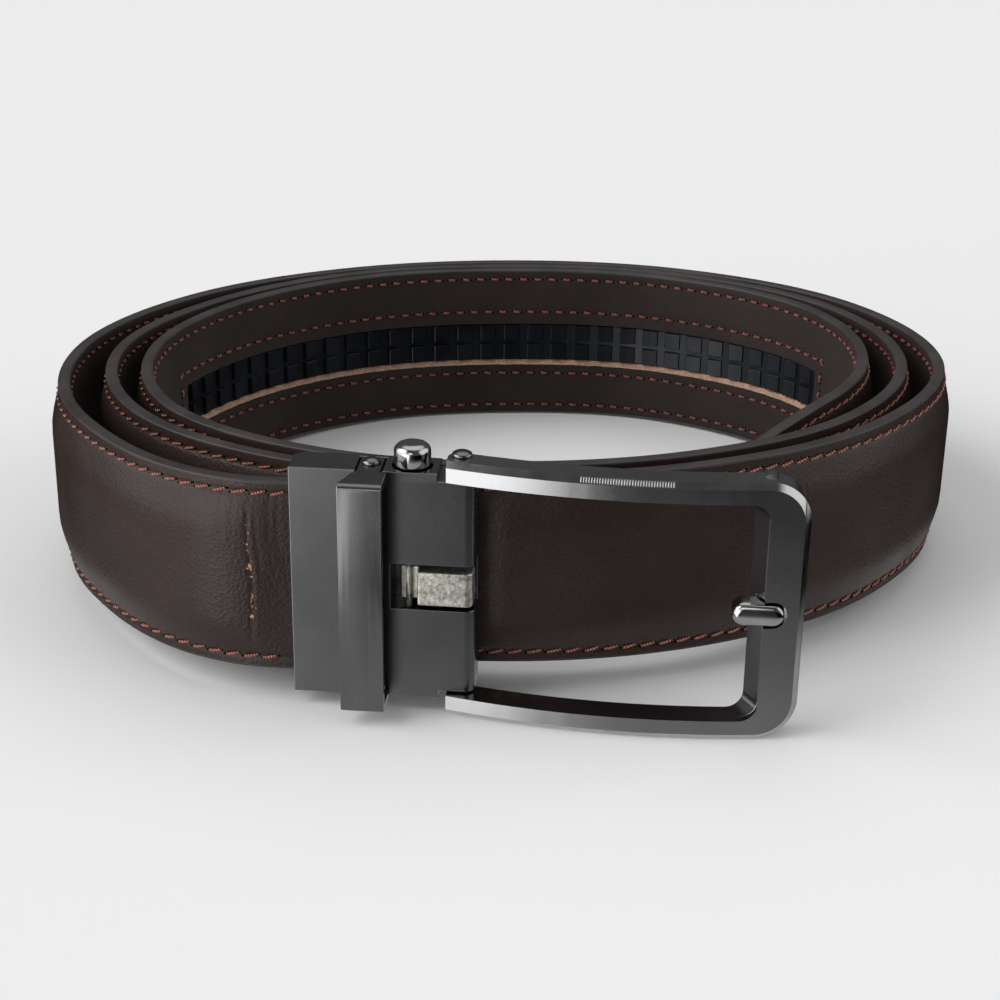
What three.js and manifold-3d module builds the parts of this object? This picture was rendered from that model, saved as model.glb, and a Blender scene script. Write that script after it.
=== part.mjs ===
// A ratchet belt, rolled up in nearly three turns and standing on its edge, with its buckle in front.
// Millimetres, +Z up, +X to the right and +Y away from someone who looks at the buckle.
// The origin is on the floor, under the middle of the whole belt.
import * as THREE from 'three';
import { mergeVertices } from 'three/addons/utils/BufferGeometryUtils.js';
import Module from 'manifold-3d';

const wasm = await Module();
wasm.setup();

// Strap
const strapWidth = 35;
const faceEdge = 1;               // outer leather at its painted edge
const crown = 1.7;                // how far the padded middle of the outer leather stands proud of its edges
const crownPressed = 0.8;         // the same where the turns lie snug and press it
const crownShoulder = 9;          // from the edge to where the crown is full
const liningThickness = 1.15;
const plyGap = 0.15;
const layerGap = 0.3;             // between neighbouring turns where they lie snug
const liningInset = 0.3;          // the lining's edge sits inside the outer leather's edge
const tipLength = 40;
const tipFlat = 8;                // straight end of the rounded tip

// Coil, seen from above: its largest radius, and where the tip ends on the innermost turn
const coilReach = 90;
const tipAngle = 328;
const arcStep = 7.5;              // degrees between two sections of the strap

// Each row: direction in degrees, clockwise from the buckle; the outer turn's radius; then the slack
// from the outer to the second turn and from the second to the inner one. All are shares of coilReach.
const COIL = [
  { at: 0, outer: 0.862, slackSecond: 0.038, slackInner: 0.023 },
  { at: 30, outer: 0.950, slackSecond: 0.087, slackInner: 0.028 },
  { at: 60, outer: 0.996, slackSecond: 0.077, slackInner: 0.033 },
  { at: 90, outer: 0.974, slackSecond: 0.051, slackInner: 0.038 },
  { at: 120, outer: 0.906, slackSecond: 0.034, slackInner: 0.014 },
  { at: 150, outer: 0.843, slackSecond: 0.002, slackInner: 0.003 },
  { at: 180, outer: 0.833, slackSecond: 0.001, slackInner: 0.001 },
  { at: 210, outer: 0.889, slackSecond: 0.001, slackInner: 0.001 },
  { at: 240, outer: 0.960, slackSecond: 0.019, slackInner: 0.016 },
  { at: 270, outer: 0.970, slackSecond: 0.044, slackInner: 0.047 },
  { at: 300, outer: 0.883, slackSecond: 0.029, slackInner: 0.053 },
  { at: 330, outer: 0.806, slackSecond: 0.023, slackInner: 0.007 },
];

// Ratchet track
const trackFromTip = 101;         // from the strap's tip to the nearer end of the window
const windowLength = 176.5;
const windowHeight = 9.2;
const trackGap = 0.3;             // around the track in its window
const trackBase = 0.35;
const toothPitch = 5.6;
const toothRise = 0.75;
const toothLand = 0.67;           // share of the pitch that a tooth's top takes
const toothRamp = 0.4;            // share of the rise that is left at a tooth's lower end
const toothGroove = 0.5;          // half the width of the groove between the two rows

// Buckle housing
const housingInset = 2.5;         // how far its top and bottom stay inside the frame's
const housingDepth = 7;
const housingLength = 31.3;
const housingYaw = 5;             // degrees, right end nearer
const housingLeft = -36.8;        // the clamp's left end, from the coil's middle
const housingRound = 1.8;         // its right front edge
const housingBevel = 1.4;         // its left back edge
const seatGap = 0.4;              // to the strap that runs behind it
const clampWall = 1.1;            // in front of the strap's end
const clampGrip = 9.5;            // how far the strap goes in
const slip = 0.3;                 // clearance around what seats in the housing
const shoulderStart = 25;         // where the housing steps down for the frame's arms

// Pawl, its slot and its pin
const slotStart = 17;
const slotHeight = 8.3;
const slotDepth = 5.6;
const pawlStart = 21.6;
const pawlHeight = 6.2;
const pawlProud = 0.6;            // in front of the housing
const pawlBack = 3.3;
const pawlBevel = 1.3;
const pinAt = 20;
const pinDepth = 1.2;
const pinRadius = 0.5;
const pawlTail = 1.6;             // the pawl's arm beyond its pin

// Release button
const buttonAt = 20.4;
const buttonRadius = 3.1;
const buttonRise = 4;
const buttonDome = 1.9;
const buttonTravel = 2;
const buttonSunk = 5.5;

// Keeper loop
const loopStart = 9.2;
const loopWidth = 7.4;
const loopThick = 1.5;
const loopGap = 5.4;              // room for the strap in front of the housing
const loopRound = 1.2;
const loopTaper = 1.9;            // the arms' left edges run in by this
const tongueStart = 11.5;
const tongueWidth = 4;
const tongueDepth = 5.8;
const loopRivetRadius = 1.6;
const loopRivetRise = 0.9;

// Frame
const frameHeight = 47;
const frameEnd = 86.3;
const frameStart = 26.5;
const frameDepth = 5.2;
const railHeight = 3.6;
const barWidth = 6.7;
const innerBevel = 3.3;
const innerCorner = 3.2;
const barLand = 1.2;              // straight depth of the right bar's inner edge before its bevel
const frameCorner = 7.2;
const frameChamfer = 1;
const knuckleRadius = 2;
const nubAt = 79.5;
const nubRadius = 1.4;
const nubRise = 0.45;
const nubLength = 2;
const bowApex = 60;               // where the bowed frame stands furthest forward
const bowProud = 5.2;
const bowRadius = 135;
const hingeAt = 28.8;
const hingeDepth = 2.4;
const hingePin = 1.1;
const hingeHole = 1.4;
const hingeSunk = 2.5;            // the rivet's reach into the housing
const frameRivetRadius = 1.7;
const frameRivetRise = 0.8;

// Prong
const prongStart = 74.3;
const prongEnd = 83;
const prongHeight = 4;
const prongProud = 0.4;           // in front of the frame at the prong's middle
const prongDome = 0.8;
const notchFloor = 2.9;           // depth of the frame's notch
const prongGap = 0.4;

const seat = 0.1;                 // between a rivet head and what it holds

// Values that follow from those above
const liningOuter = faceEdge + plyGap;
const strapEdge = liningOuter + liningThickness;
const turnPitch = strapEdge + crownPressed + layerGap;
const mid = frameHeight / 2;
const strapLift = mid - strapWidth / 2;
const housingTop = frameHeight - housingInset;
const housingBottom = housingInset;
const shoulderTop = frameHeight - railHeight - slip;
const shoulderBottom = railHeight + slip;
const tongueSeat = loopThick + slip;
const yaw = THREE.MathUtils.degToRad(housingYaw);

const material = (color, metalness, roughness) => new THREE.MeshStandardMaterial({ color, metalness, roughness });
const leather = material(0x2c1d19, 0, 0.5);
const liningLeather = material(0x2a201c, 0, 0.8);
const plastic = material(0x15161a, 0, 0.45);
const gunmetal = material(0x4a4c4e, 1, 0.35);
const nickel = material(0xa8a296, 1, 0.45);

// Solids

function solidOf(geometry) {
  const bare = geometry.clone();
  bare.deleteAttribute('normal');
  bare.deleteAttribute('uv');
  const merged = mergeVertices(bare, 1e-5);
  return new wasm.Manifold(new wasm.Mesh({
    numProp: 3,
    vertProperties: Float32Array.from(merged.attributes.position.array),
    triVerts: Uint32Array.from(merged.index.array),
  }));
}

function geometryOf(solid) {
  const mesh = solid.getMesh();
  const geometry = new THREE.BufferGeometry();
  const points = new Float32Array((mesh.vertProperties.length / mesh.numProp) * 3);
  for (let i = 0; i < points.length / 3; i += 1) {
    for (let k = 0; k < 3; k += 1) points[3 * i + k] = mesh.vertProperties[mesh.numProp * i + k];
  }
  geometry.setAttribute('position', new THREE.BufferAttribute(points, 3));
  geometry.setIndex(Array.from(mesh.triVerts));
  geometry.computeVertexNormals();
  return geometry;
}

function box(x0, x1, y0, y1, z0, z1) {
  const geometry = new THREE.BoxGeometry(x1 - x0, y1 - y0, z1 - z0);
  geometry.translate((x0 + x1) / 2, (y0 + y1) / 2, (z0 + z1) / 2);
  return solidOf(geometry);
}

// An outline in plan, raised from z0 to z1
function prism(shape, z0, z1, curveSegments = 4) {
  const geometry = new THREE.ExtrudeGeometry(shape, { depth: z1 - z0, bevelEnabled: false, curveSegments });
  geometry.translate(0, 0, z0);
  return solidOf(geometry);
}

// An outline seen from the front (x across, y up in the shape), reaching from y0 back to y1
function frontPrism(shape, y0, y1, curveSegments = 6) {
  const geometry = new THREE.ExtrudeGeometry(shape, { depth: y1 - y0, bevelEnabled: false, curveSegments });
  geometry.rotateX(Math.PI / 2);
  geometry.translate(0, y1, 0);
  return solidOf(geometry);
}

function upright(radius, x, y, z0, z1, sides = 16) {
  const geometry = new THREE.CylinderGeometry(radius, radius, z1 - z0, sides);
  geometry.rotateX(Math.PI / 2);
  geometry.translate(x, y, (z0 + z1) / 2);
  return solidOf(geometry);
}

// A round piece from a profile of [radius, height] points that starts and ends on the axis
function turned(profile, x, y, sides = 16) {
  const geometry = new THREE.LatheGeometry(profile.map(([r, h]) => new THREE.Vector2(r, h)), sides);
  geometry.rotateX(Math.PI / 2);
  geometry.translate(x, y, 0);
  return solidOf(geometry);
}

// A domed head: points from its rim up to the axis
function dome(radius, z, rise, steps = 3) {
  const points = [];
  for (let i = 0; i <= steps; i += 1) {
    const turn = (i / steps) * Math.PI / 2;
    points.push([i === steps ? 0 : radius * Math.cos(turn), z + rise * Math.sin(turn)]);
  }
  return points;
}

function polygon(points) {
  return new THREE.Shape(points.map(([x, y]) => new THREE.Vector2(x, y)));
}

// A rectangle with round corners
function roundBox(x0, x1, y0, y1, radius) {
  const shape = new THREE.Shape();
  shape.absarc(x1 - radius, y1 - radius, radius, 0, Math.PI / 2);
  shape.absarc(x0 + radius, y1 - radius, radius, Math.PI / 2, Math.PI);
  shape.absarc(x0 + radius, y0 + radius, radius, Math.PI, 1.5 * Math.PI);
  shape.absarc(x1 - radius, y0 + radius, radius, 1.5 * Math.PI, 2 * Math.PI);
  return shape;
}

// Where the buckle stands: its front left corner, found from the strap that runs behind its right end

const firstRow = COIL[0];
const turnBehind = coilReach * (firstRow.outer - firstRow.slackSecond) - turnPitch;
const buckleLeft = new THREE.Vector2(
  housingLeft,
  -(turnBehind + crownPressed + seatGap) + housingLength * Math.sin(yaw) - housingDepth * Math.cos(yaw),
);

// From the buckle's own x (along it) and y (away from the viewer) to the plan
function fromBuckle(x, y) {
  return new THREE.Vector2(
    buckleLeft.x + x * Math.cos(yaw) + y * Math.sin(yaw),
    buckleLeft.y - x * Math.sin(yaw) + y * Math.cos(yaw),
  );
}

// The strap's path: its outer edge line in plan, from the clamp to the tip

const polar = (degrees, radius) => {
  const turn = THREE.MathUtils.degToRad(degrees);
  return new THREE.Vector2(-radius * Math.sin(turn), -radius * Math.cos(turn));
};
const headingOf = (point) => (THREE.MathUtils.radToDeg(Math.atan2(-point.x, -point.y)) + 360) % 360;

function radiusStations() {
  const leadIn = 5;
  const strapY = clampWall + slip;
  const stations = [0, -leadIn].map((x) => {
    const point = fromBuckle(x, strapY);
    return { at: headingOf(point), radius: point.length(), room: crown };
  });
  const slope = (stations[1].radius - stations[0].radius) / (stations[1].at - stations[0].at);
  stations[0].slope = slope;
  stations[1].slope = slope;
  // The room is what lies free outside a turn, for its crown
  const turns = [
    (row) => ({ radius: row.outer * coilReach, room: crown }),
    (row) => ({
      radius: (row.outer - row.slackSecond) * coilReach - turnPitch,
      room: crownPressed + row.slackSecond * coilReach,
    }),
    (row) => ({
      radius: (row.outer - row.slackSecond - row.slackInner) * coilReach - 2 * turnPitch,
      room: crownPressed + row.slackInner * coilReach,
    }),
  ];
  turns.forEach((place, turn) => {
    for (const row of COIL) {
      const at = row.at + 360 * turn;
      if (at > stations[1].at + arcStep) stations.push({ at, ...place(row) });
    }
  });
  for (let i = 2; i < stations.length; i += 1) {
    const next = stations[Math.min(i + 1, stations.length - 1)];
    stations[i].slope = (next.radius - stations[i - 1].radius) / (next.at - stations[i - 1].at);
  }
  return stations;
}

function stationsAround(stations, at) {
  let i = 0;
  while (i < stations.length - 2 && at > stations[i + 1].at) i += 1;
  return [stations[i], stations[i + 1]];
}

// How far the crown may rise at any angle: up to the next turn out, or to the back of the housing
function roomAt(stations, at, point) {
  const [a, b] = stationsAround(stations, at);
  const free = a.room + ((b.room - a.room) * (at - a.at)) / (b.at - a.at);
  if (at < 180) return free;
  const from = point.clone().sub(buckleLeft);
  const along = from.x * Math.cos(yaw) - from.y * Math.sin(yaw);
  const behind = from.x * Math.sin(yaw) + from.y * Math.cos(yaw) - housingDepth - seatGap;
  const beyond = Math.max(0, along - housingLength, -along);
  return Math.min(free, Math.max(crownPressed, behind) + beyond / 4);
}

// The radius at any angle, smooth through the stations
function radiusAt(stations, at) {
  const [a, b] = stationsAround(stations, at);
  const span = b.at - a.at;
  const t = (at - a.at) / span;
  const t2 = t * t;
  const t3 = t2 * t;
  return (2 * t3 - 3 * t2 + 1) * a.radius + (t3 - 2 * t2 + t) * span * a.slope
    + (3 * t2 - 2 * t3) * b.radius + (t3 - t2) * span * b.slope;
}

function strapPath() {
  const strapY = clampWall + slip;
  const points = [clampGrip - slip, clampGrip / 2].map((x) => ({ place: fromBuckle(x, strapY), room: crown }));
  const stations = radiusStations();
  const start = stations[0].at;
  const end = tipAngle + 720;
  const steps = Math.round((end - start) / arcStep);
  for (let i = 0; i <= steps; i += 1) {
    const at = start + ((end - start) * i) / steps;
    const place = polar(at, radiusAt(stations, at));
    points.push({ place, room: roomAt(stations, at, place) });
  }
  let run = 0;
  return points.map(({ place, room }, i) => {
    const before = points[Math.max(i - 1, 0)].place;
    const after = points[Math.min(i + 1, points.length - 1)].place;
    const along = after.clone().sub(before).normalize();
    if (i > 0) run += place.distanceTo(before);
    return { x: place.x, y: place.y, outX: -along.y, outY: along.x, room, run };
  });
}

const path = strapPath();
const strapLength = path[path.length - 1].run;
const backEdge = Math.max(...path.map((p) => p.y + crown * p.outY));
const clampY = path[0].y;

// The strap is level with the buckle in front and comes down to the floor at the back
const liftAt = (y) => (strapLift * (backEdge - y)) / (backEdge - clampY);

// The path at a length along it
function pathAt(run) {
  let i = 0;
  while (i < path.length - 2 && run > path[i + 1].run) i += 1;
  const a = path[i];
  const b = path[i + 1];
  const t = THREE.MathUtils.clamp((run - a.run) / (b.run - a.run), 0, 1);
  const mix = (key) => a[key] + (b[key] - a[key]) * t;
  return { x: mix('x'), y: mix('y'), outX: mix('outX'), outY: mix('outY'), room: mix('room'), run };
}

// A place on the strap: inward from its outer edge line, and up from its lower edge
function strapPoint(p, inward, up) {
  return [p.x - inward * p.outX, p.y - inward * p.outY, up + liftAt(p.y)];
}

// A closed band swept along stations of the path. sectionAt gives [inward, up] corners, the same
// number at each station, clockwise as seen by someone who looks along the path.
function sweep(stations, sectionAt) {
  const points = [];
  let corners = 0;
  for (const p of stations) {
    const section = sectionAt(p);
    corners = section.length;
    for (const [inward, up] of section) points.push(...strapPoint(p, inward, up));
  }
  const triangles = [];
  for (let i = 0; i + 1 < stations.length; i += 1) {
    for (let k = 0; k < corners; k += 1) {
      const a = i * corners + k;
      const b = i * corners + ((k + 1) % corners);
      triangles.push(a, a + corners, b, b, a + corners, b + corners);
    }
  }
  const last = (stations.length - 1) * corners;
  const pivot = corners - 1;
  for (let k = 0; k + 1 < pivot; k += 1) {
    triangles.push(pivot, k, k + 1, last + pivot, last + k + 1, last + k);
  }
  const geometry = new THREE.BufferGeometry();
  geometry.setAttribute('position', new THREE.Float32BufferAttribute(points, 3));
  geometry.setIndex(triangles);
  const solid = solidOf(geometry);
  return solid.volume() > 0 ? solid : solidOf(flipped(geometry));
}

function flipped(geometry) {
  const index = Array.from(geometry.index.array);
  for (let i = 0; i < index.length; i += 3) [index[i + 1], index[i + 2]] = [index[i + 2], index[i + 1]];
  const other = geometry.clone();
  other.setIndex(index);
  return other;
}

// The stations of the whole strap, closer together along the rounded tip
function strapStations() {
  const body = path.filter((p) => p.run < strapLength - tipLength - 1);
  const steps = 6;
  for (let i = 0; i <= steps; i += 1) {
    body.push(pathAt(strapLength - tipLength * Math.cos((i / steps) * Math.PI / 2)));
  }
  return body;
}

// Half of the strap's width where the tip narrows
function halfWidthAt(run) {
  const into = Math.max(0, run - (strapLength - tipLength)) / tipLength;
  const round = Math.sqrt(Math.max(0, 1 - into * into));
  return tipFlat / 2 + (strapWidth / 2 - tipFlat / 2) * round;
}

// The crown dies out where the clamp presses the strap flat, and towards the tip
function crownAt({ run, room }) {
  const fromClamp = THREE.MathUtils.smoothstep(run, clampGrip, clampGrip + strapWidth / 2);
  return Math.min(crown, room) * fromClamp * (halfWidthAt(run) / (strapWidth / 2));
}

function strapFace() {
  // Rows of the crown: distance from the strap's edge as a share of the shoulder, and its rise
  const shoulder = [
    { in: 0.28, rise: 0.2 },
    { in: 0.58, rise: 0.72 },
    { in: 1, rise: 1 },
  ];
  return sweep(strapStations(), (p) => {
    const half = halfWidthAt(p.run);
    const width = Math.min(crownShoulder, half * 0.8);
    const rise = crownAt(p);
    const centre = strapWidth / 2;
    const low = shoulder.map((row) => [-rise * row.rise, centre - half + width * row.in]);
    const high = shoulder.map((row) => [-rise * row.rise, centre + half - width * row.in]).reverse();
    return [[0, centre - half], ...low, ...high, [0, centre + half], [faceEdge, centre + half],
      [faceEdge, centre - half]];
  });
}

const windowStart = strapLength - trackFromTip - windowLength;
const windowEnd = strapLength - trackFromTip;
const windowLow = (strapWidth - windowHeight) / 2;

// Stations every few millimetres between two places on the strap
function stationsBetween(from, to, step) {
  const count = Math.max(2, Math.round((to - from) / step));
  return Array.from({ length: count + 1 }, (_, i) => pathAt(from + ((to - from) * i) / count));
}

function bandSection(inner, outer, low, high) {
  return [[inner, low], [inner, high], [outer, high], [outer, low]];
}

function strapLining() {
  const centre = strapWidth / 2;
  const band = sweep(strapStations(), (p) => {
    const half = halfWidthAt(p.run) - liningInset;
    return bandSection(liningOuter, strapEdge, centre - half, centre + half);
  });
  const cut = sweep(
    stationsBetween(windowStart, windowEnd, 8),
    () => bandSection(0, 2 * strapEdge, windowLow, windowLow + windowHeight),
  );
  return band.subtract(cut);
}

// The track: two rows of ratchet teeth side by side on one base, with a groove between them. A tooth
// rises steeply and then slopes down towards the strap's tip.
function ratchetTrack() {
  const from = windowStart + trackGap;
  const to = windowEnd - trackGap;
  const teeth = Math.floor((to - from) / toothPitch);
  const first = (from + to - toothPitch * (teeth - 1 + toothLand)) / 2;
  const stations = [{ ...pathAt(from), rise: 0 }];
  for (let i = 0; i < teeth; i += 1) {
    const at = first + toothPitch * i;
    const land = toothPitch * toothLand;
    const steep = toothRise / 4;
    stations.push({ ...pathAt(at), rise: 0 }, { ...pathAt(at + steep), rise: 1 });
    stations.push({ ...pathAt(at + land - steep), rise: toothRamp }, { ...pathAt(at + land), rise: 0 });
  }
  stations.push({ ...pathAt(to), rise: 0 });

  const low = windowLow + trackGap;
  const high = windowLow + windowHeight - trackGap;
  const centre = strapWidth / 2;
  const inner = liningOuter;
  const base = inner + trackBase;
  return sweep(stations, (p) => {
    const top = base + toothRise * p.rise;
    return [[inner, high], [top, high], [top, centre + toothGroove], [base, centre + toothGroove / 2],
      [base, centre - toothGroove / 2], [top, centre - toothGroove], [top, low], [inner, low]];
  });
}

// The buckle, in its own frame: x along it, y away from the viewer from the housing's front, z up

function buckleHousing() {
  const plan = new THREE.Shape();
  plan.moveTo(housingBevel, housingDepth);
  plan.lineTo(0, housingDepth - housingBevel);
  plan.lineTo(0, 0);
  plan.lineTo(housingLength - housingRound, 0);
  plan.absarc(housingLength - housingRound, housingRound, housingRound, -Math.PI / 2, 0);
  plan.lineTo(housingLength, housingDepth);
  let body = prism(plan, housingBottom, housingTop);
  const over = 1;
  const strapBack = clampWall + 2 * slip + strapEdge;
  const cuts = [
    box(-over, clampGrip, clampWall, strapBack, mid - strapWidth / 2 - slip, mid + strapWidth / 2 + slip),
    box(shoulderStart, housingLength + over, -over, housingDepth + over, shoulderTop, housingTop + over),
    box(shoulderStart, housingLength + over, -over, housingDepth + over, housingBottom - over, shoulderBottom),
    box(slotStart, housingLength + over, -over, slotDepth, mid - slotHeight / 2, mid + slotHeight / 2),
    upright(buttonRadius + slip, buttonAt, housingDepth / 2, housingTop - buttonSunk - buttonTravel - slip,
      housingTop + over),
  ];
  const notchX = [tongueStart - slip, tongueStart + tongueWidth + slip];
  cuts.push(box(...notchX, -over, tongueDepth + slip, housingTop - tongueSeat, housingTop + over));
  cuts.push(box(...notchX, -over, tongueDepth + slip, housingBottom - over, housingBottom + tongueSeat));
  const bore = hingePin + slip / 2;
  cuts.push(upright(bore, hingeAt, hingeDepth, shoulderTop - hingeSunk, shoulderTop + over, 12));
  cuts.push(upright(bore, hingeAt, hingeDepth, shoulderBottom - over, shoulderBottom + hingeSunk, 12));
  for (const cut of cuts) body = body.subtract(cut);
  return body;
}

function keeperLoop() {
  const front = -(loopGap + loopThick);
  const back = tongueDepth;
  // The bent strip seen from its side: depth across, height up
  const outer = new THREE.Shape();
  outer.moveTo(back, housingTop);
  outer.lineTo(front + loopRound, housingTop);
  outer.absarc(front + loopRound, housingTop - loopRound, loopRound, Math.PI / 2, Math.PI);
  outer.absarc(front + loopRound, housingBottom + loopRound, loopRound, Math.PI, 1.5 * Math.PI);
  outer.lineTo(back, housingBottom);
  outer.lineTo(back, housingBottom + loopThick);
  outer.lineTo(front + loopThick, housingBottom + loopThick);
  outer.lineTo(front + loopThick, housingTop - loopThick);
  outer.lineTo(back, housingTop - loopThick);
  const reach = loopStart + loopWidth + 2;
  const geometry = new THREE.ExtrudeGeometry(outer, { depth: reach, bevelEnabled: false, curveSegments: 3 });
  geometry.applyMatrix4(new THREE.Matrix4().makeBasis(
    new THREE.Vector3(0, 1, 0), new THREE.Vector3(0, 0, 1), new THREE.Vector3(1, 0, 0)));
  const strip = solidOf(geometry);
  const right = loopStart + loopWidth;
  const shoulderY = -slip;
  const plan = polygon([
    [loopStart, front - 1], [right, front - 1], [right, shoulderY], [tongueStart + tongueWidth, shoulderY],
    [tongueStart + tongueWidth, back + 1], [tongueStart, back + 1], [tongueStart, shoulderY],
    [loopStart + loopTaper, shoulderY], [loopStart, front + loopThick],
  ]);
  return strip.intersect(prism(plan, housingBottom - 1, housingTop + 1));
}

// A rivet head on the loop's tongue, seen from outside: up is 1 on top and -1 below
function loopRivet(up) {
  const outside = mid + up * (mid - housingInset + seat);
  const head = turned([[0, 0], ...dome(loopRivetRadius, 0, loopRivetRise)], 0, 0, 14);
  return placed(head, tongueStart + tongueWidth / 2, housingDepth / 2, outside, up);
}

// Moves a solid built upwards from the origin, turned over where up is -1
function placed(solid, x, y, z, up) {
  const geometry = geometryOf(solid);
  if (up < 0) geometry.rotateX(Math.PI);
  geometry.translate(x, y, z);
  return solidOf(geometry);
}

function releaseButton() {
  const top = housingTop + buttonRise;
  const foot = housingTop - buttonSunk;
  const shoulder = top - buttonDome;
  const flat = buttonRadius - buttonDome;
  const cap = dome(buttonDome, shoulder, buttonDome).slice(0, -1).map(([r, z]) => [flat + r, z]);
  return turned([[0, foot], [buttonRadius, foot], ...cap, [flat, top], [0, top]], buttonAt, housingDepth / 2, 20);
}

function pawl() {
  const right = housingLength - slip;
  const plan = polygon([
    [pawlStart, -pawlProud], [right - pawlBevel, -pawlProud], [right, -pawlProud + pawlBevel],
    [right, pawlBack], [pinAt - pawlTail, pawlBack], [pinAt - pawlTail, pinDepth + pinRadius + slip],
    [pawlStart, pinDepth + pinRadius + slip],
  ]);
  return prism(plan, mid - pawlHeight / 2, mid + pawlHeight / 2);
}

function pawlPin() {
  return upright(pinRadius, pinAt, pinDepth, mid - slotHeight / 2 + seat, mid + slotHeight / 2 - seat, 10);
}

// How far in front of the housing the bowed frame's front stands
const bowAt = (x) => bowProud - (x - bowApex) ** 2 / (2 * bowRadius);

// Half the frame's height at x, on its outline moved inward by an inset: the right corners are round
function frameHalf(x, inset) {
  const straight = frameEnd - frameCorner;
  if (x <= straight) return mid - inset;
  const radius = frameCorner - inset;
  return mid - frameCorner + Math.sqrt(Math.max(0, radius ** 2 - (x - straight) ** 2));
}

// Places along the frame: x, and how far the chamfer round its right end has gone back there
function frameStations() {
  const straight = frameEnd - frameCorner;
  const stations = [];
  const steps = 14;
  for (let i = 0; i <= steps; i += 1) {
    stations.push([frameStart + ((straight - frameStart) * i) / steps, 0]);
  }
  const turns = 6;
  for (let i = 1; i <= turns; i += 1) {
    stations.push([straight + (frameCorner - frameChamfer) * Math.sin((Math.PI / 2) * (i / turns)), 0]);
  }
  for (const share of [0.35, 0.7, 0.97]) {
    stations.push([frameEnd - frameChamfer * (1 - share), frameChamfer * share]);
  }
  return stations;
}

// The bowed slab, chamfered along its front edges and round its right end
function frameSlab() {
  const stations = frameStations();
  const points = [];
  for (const [x, gone] of stations) {
    const front = -bowAt(x);
    const back = front + frameDepth;
    const lip = frameHalf(x, frameChamfer - gone);
    const edge = frameHalf(x, 0);
    const section = [[front + frameChamfer, mid + edge], [front + gone, mid + lip],
      [front + gone, mid - lip], [front + frameChamfer, mid - edge], [back, mid - edge], [back, mid + edge]];
    for (const [y, z] of section) points.push(x, y, z);
  }
  const corners = 6;
  const triangles = [];
  for (let i = 0; i + 1 < stations.length; i += 1) {
    for (let k = 0; k < corners; k += 1) {
      const a = i * corners + k;
      const b = i * corners + ((k + 1) % corners);
      triangles.push(a, b, a + corners, b, b + corners, a + corners);
    }
  }
  const last = (stations.length - 1) * corners;
  for (let k = 1; k + 1 < corners; k += 1) {
    triangles.push(0, k + 1, k, last, last + k, last + k + 1);
  }
  const geometry = new THREE.BufferGeometry();
  geometry.setAttribute('position', new THREE.Float32BufferAttribute(points, 3));
  geometry.setIndex(triangles);
  const slab = solidOf(geometry);
  return slab.volume() < 0 ? solidOf(flipped(geometry)) : slab;
}

function buckleFrame() {
  let frame = frameSlab();
  const reach = bowProud + frameDepth;

  // The hinge end is round at the back, and a small nub stands on top near the right corner
  const hingeBack = frameDepth - bowAt(frameStart + knuckleRadius);
  const knuckle = box(frameStart - 1, frameStart + knuckleRadius, hingeBack - knuckleRadius, reach,
    -1, frameHeight + 1);
  const round = upright(knuckleRadius, frameStart + knuckleRadius, hingeBack - knuckleRadius,
    -1, frameHeight + 1, 24);
  frame = frame.subtract(knuckle.subtract(round));
  const nubShape = new THREE.Shape();
  nubShape.absarc(nubAt, frameHeight + nubRise - nubRadius, nubRadius, 0, Math.PI * 2);
  const nubBack = frameDepth - bowAt(nubAt);
  frame = frame.add(frontPrism(nubShape, nubBack - nubLength, nubBack));

  // The opening: straight through the bar's land, then its right side slopes back under the bar
  const inner = frameEnd - barWidth;
  const land = -bowAt(inner) + barLand;
  const window = roundBox(frameStart - 2 * innerCorner, inner, railHeight, frameHeight - railHeight, innerCorner);
  const slope = new THREE.ExtrudeGeometry(window, { depth: frameDepth, bevelEnabled: false, curveSegments: 4 });
  slope.rotateX(Math.PI / 2);
  const corner = slope.attributes.position;
  for (let i = 0; i < corner.count; i += 1) {
    const isBack = corner.getY(i) > -frameDepth / 2;
    if (isBack && corner.getX(i) > frameStart) corner.setX(i, corner.getX(i) - innerBevel);
  }
  slope.translate(0, land + frameDepth, 0);
  const overlap = 0.1;
  frame = frame.subtract(frontPrism(window, -reach, land + overlap, 4));
  frame = frame.subtract(solidOf(slope));
  frame = frame.subtract(box(frameStart - 1, bowApex, 0, reach, railHeight, frameHeight - railHeight));

  const half = prongHeight / 2 + prongGap;
  const notch = new THREE.Shape();
  notch.moveTo(prongStart - 2, mid - half);
  notch.lineTo(prongEnd - prongHeight / 2, mid - half);
  notch.absarc(prongEnd - prongHeight / 2, mid, half, -Math.PI / 2, Math.PI / 2);
  notch.lineTo(prongStart - 2, mid + half);
  frame = frame.subtract(frontPrism(notch, -reach, -bowAt(prongEnd) + notchFloor, 5));
  for (const z of [[-1, railHeight + 1], [frameHeight - railHeight - 1, frameHeight + 1]]) {
    frame = frame.subtract(upright(hingeHole, hingeAt, hingeDepth, ...z, 12));
  }
  return frame;
}

// A hinge rivet: its shank goes through the frame's arm into the housing. The upper one has a domed
// head, and the lower one, which the frame stands on, ends flush.
function frameRivet(up) {
  const foot = -(railHeight + slip + hingeSunk - seat);
  const head = up > 0 ? [[hingePin, seat], ...dome(frameRivetRadius, seat, frameRivetRise)]
    : [[hingePin, -seat], [0, -seat]];
  const rivet = turned([[0, foot], [hingePin, foot], ...head], 0, 0, 12);
  return placed(rivet, hingeAt, hingeDepth, mid + up * (frameHeight / 2), up);
}

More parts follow.
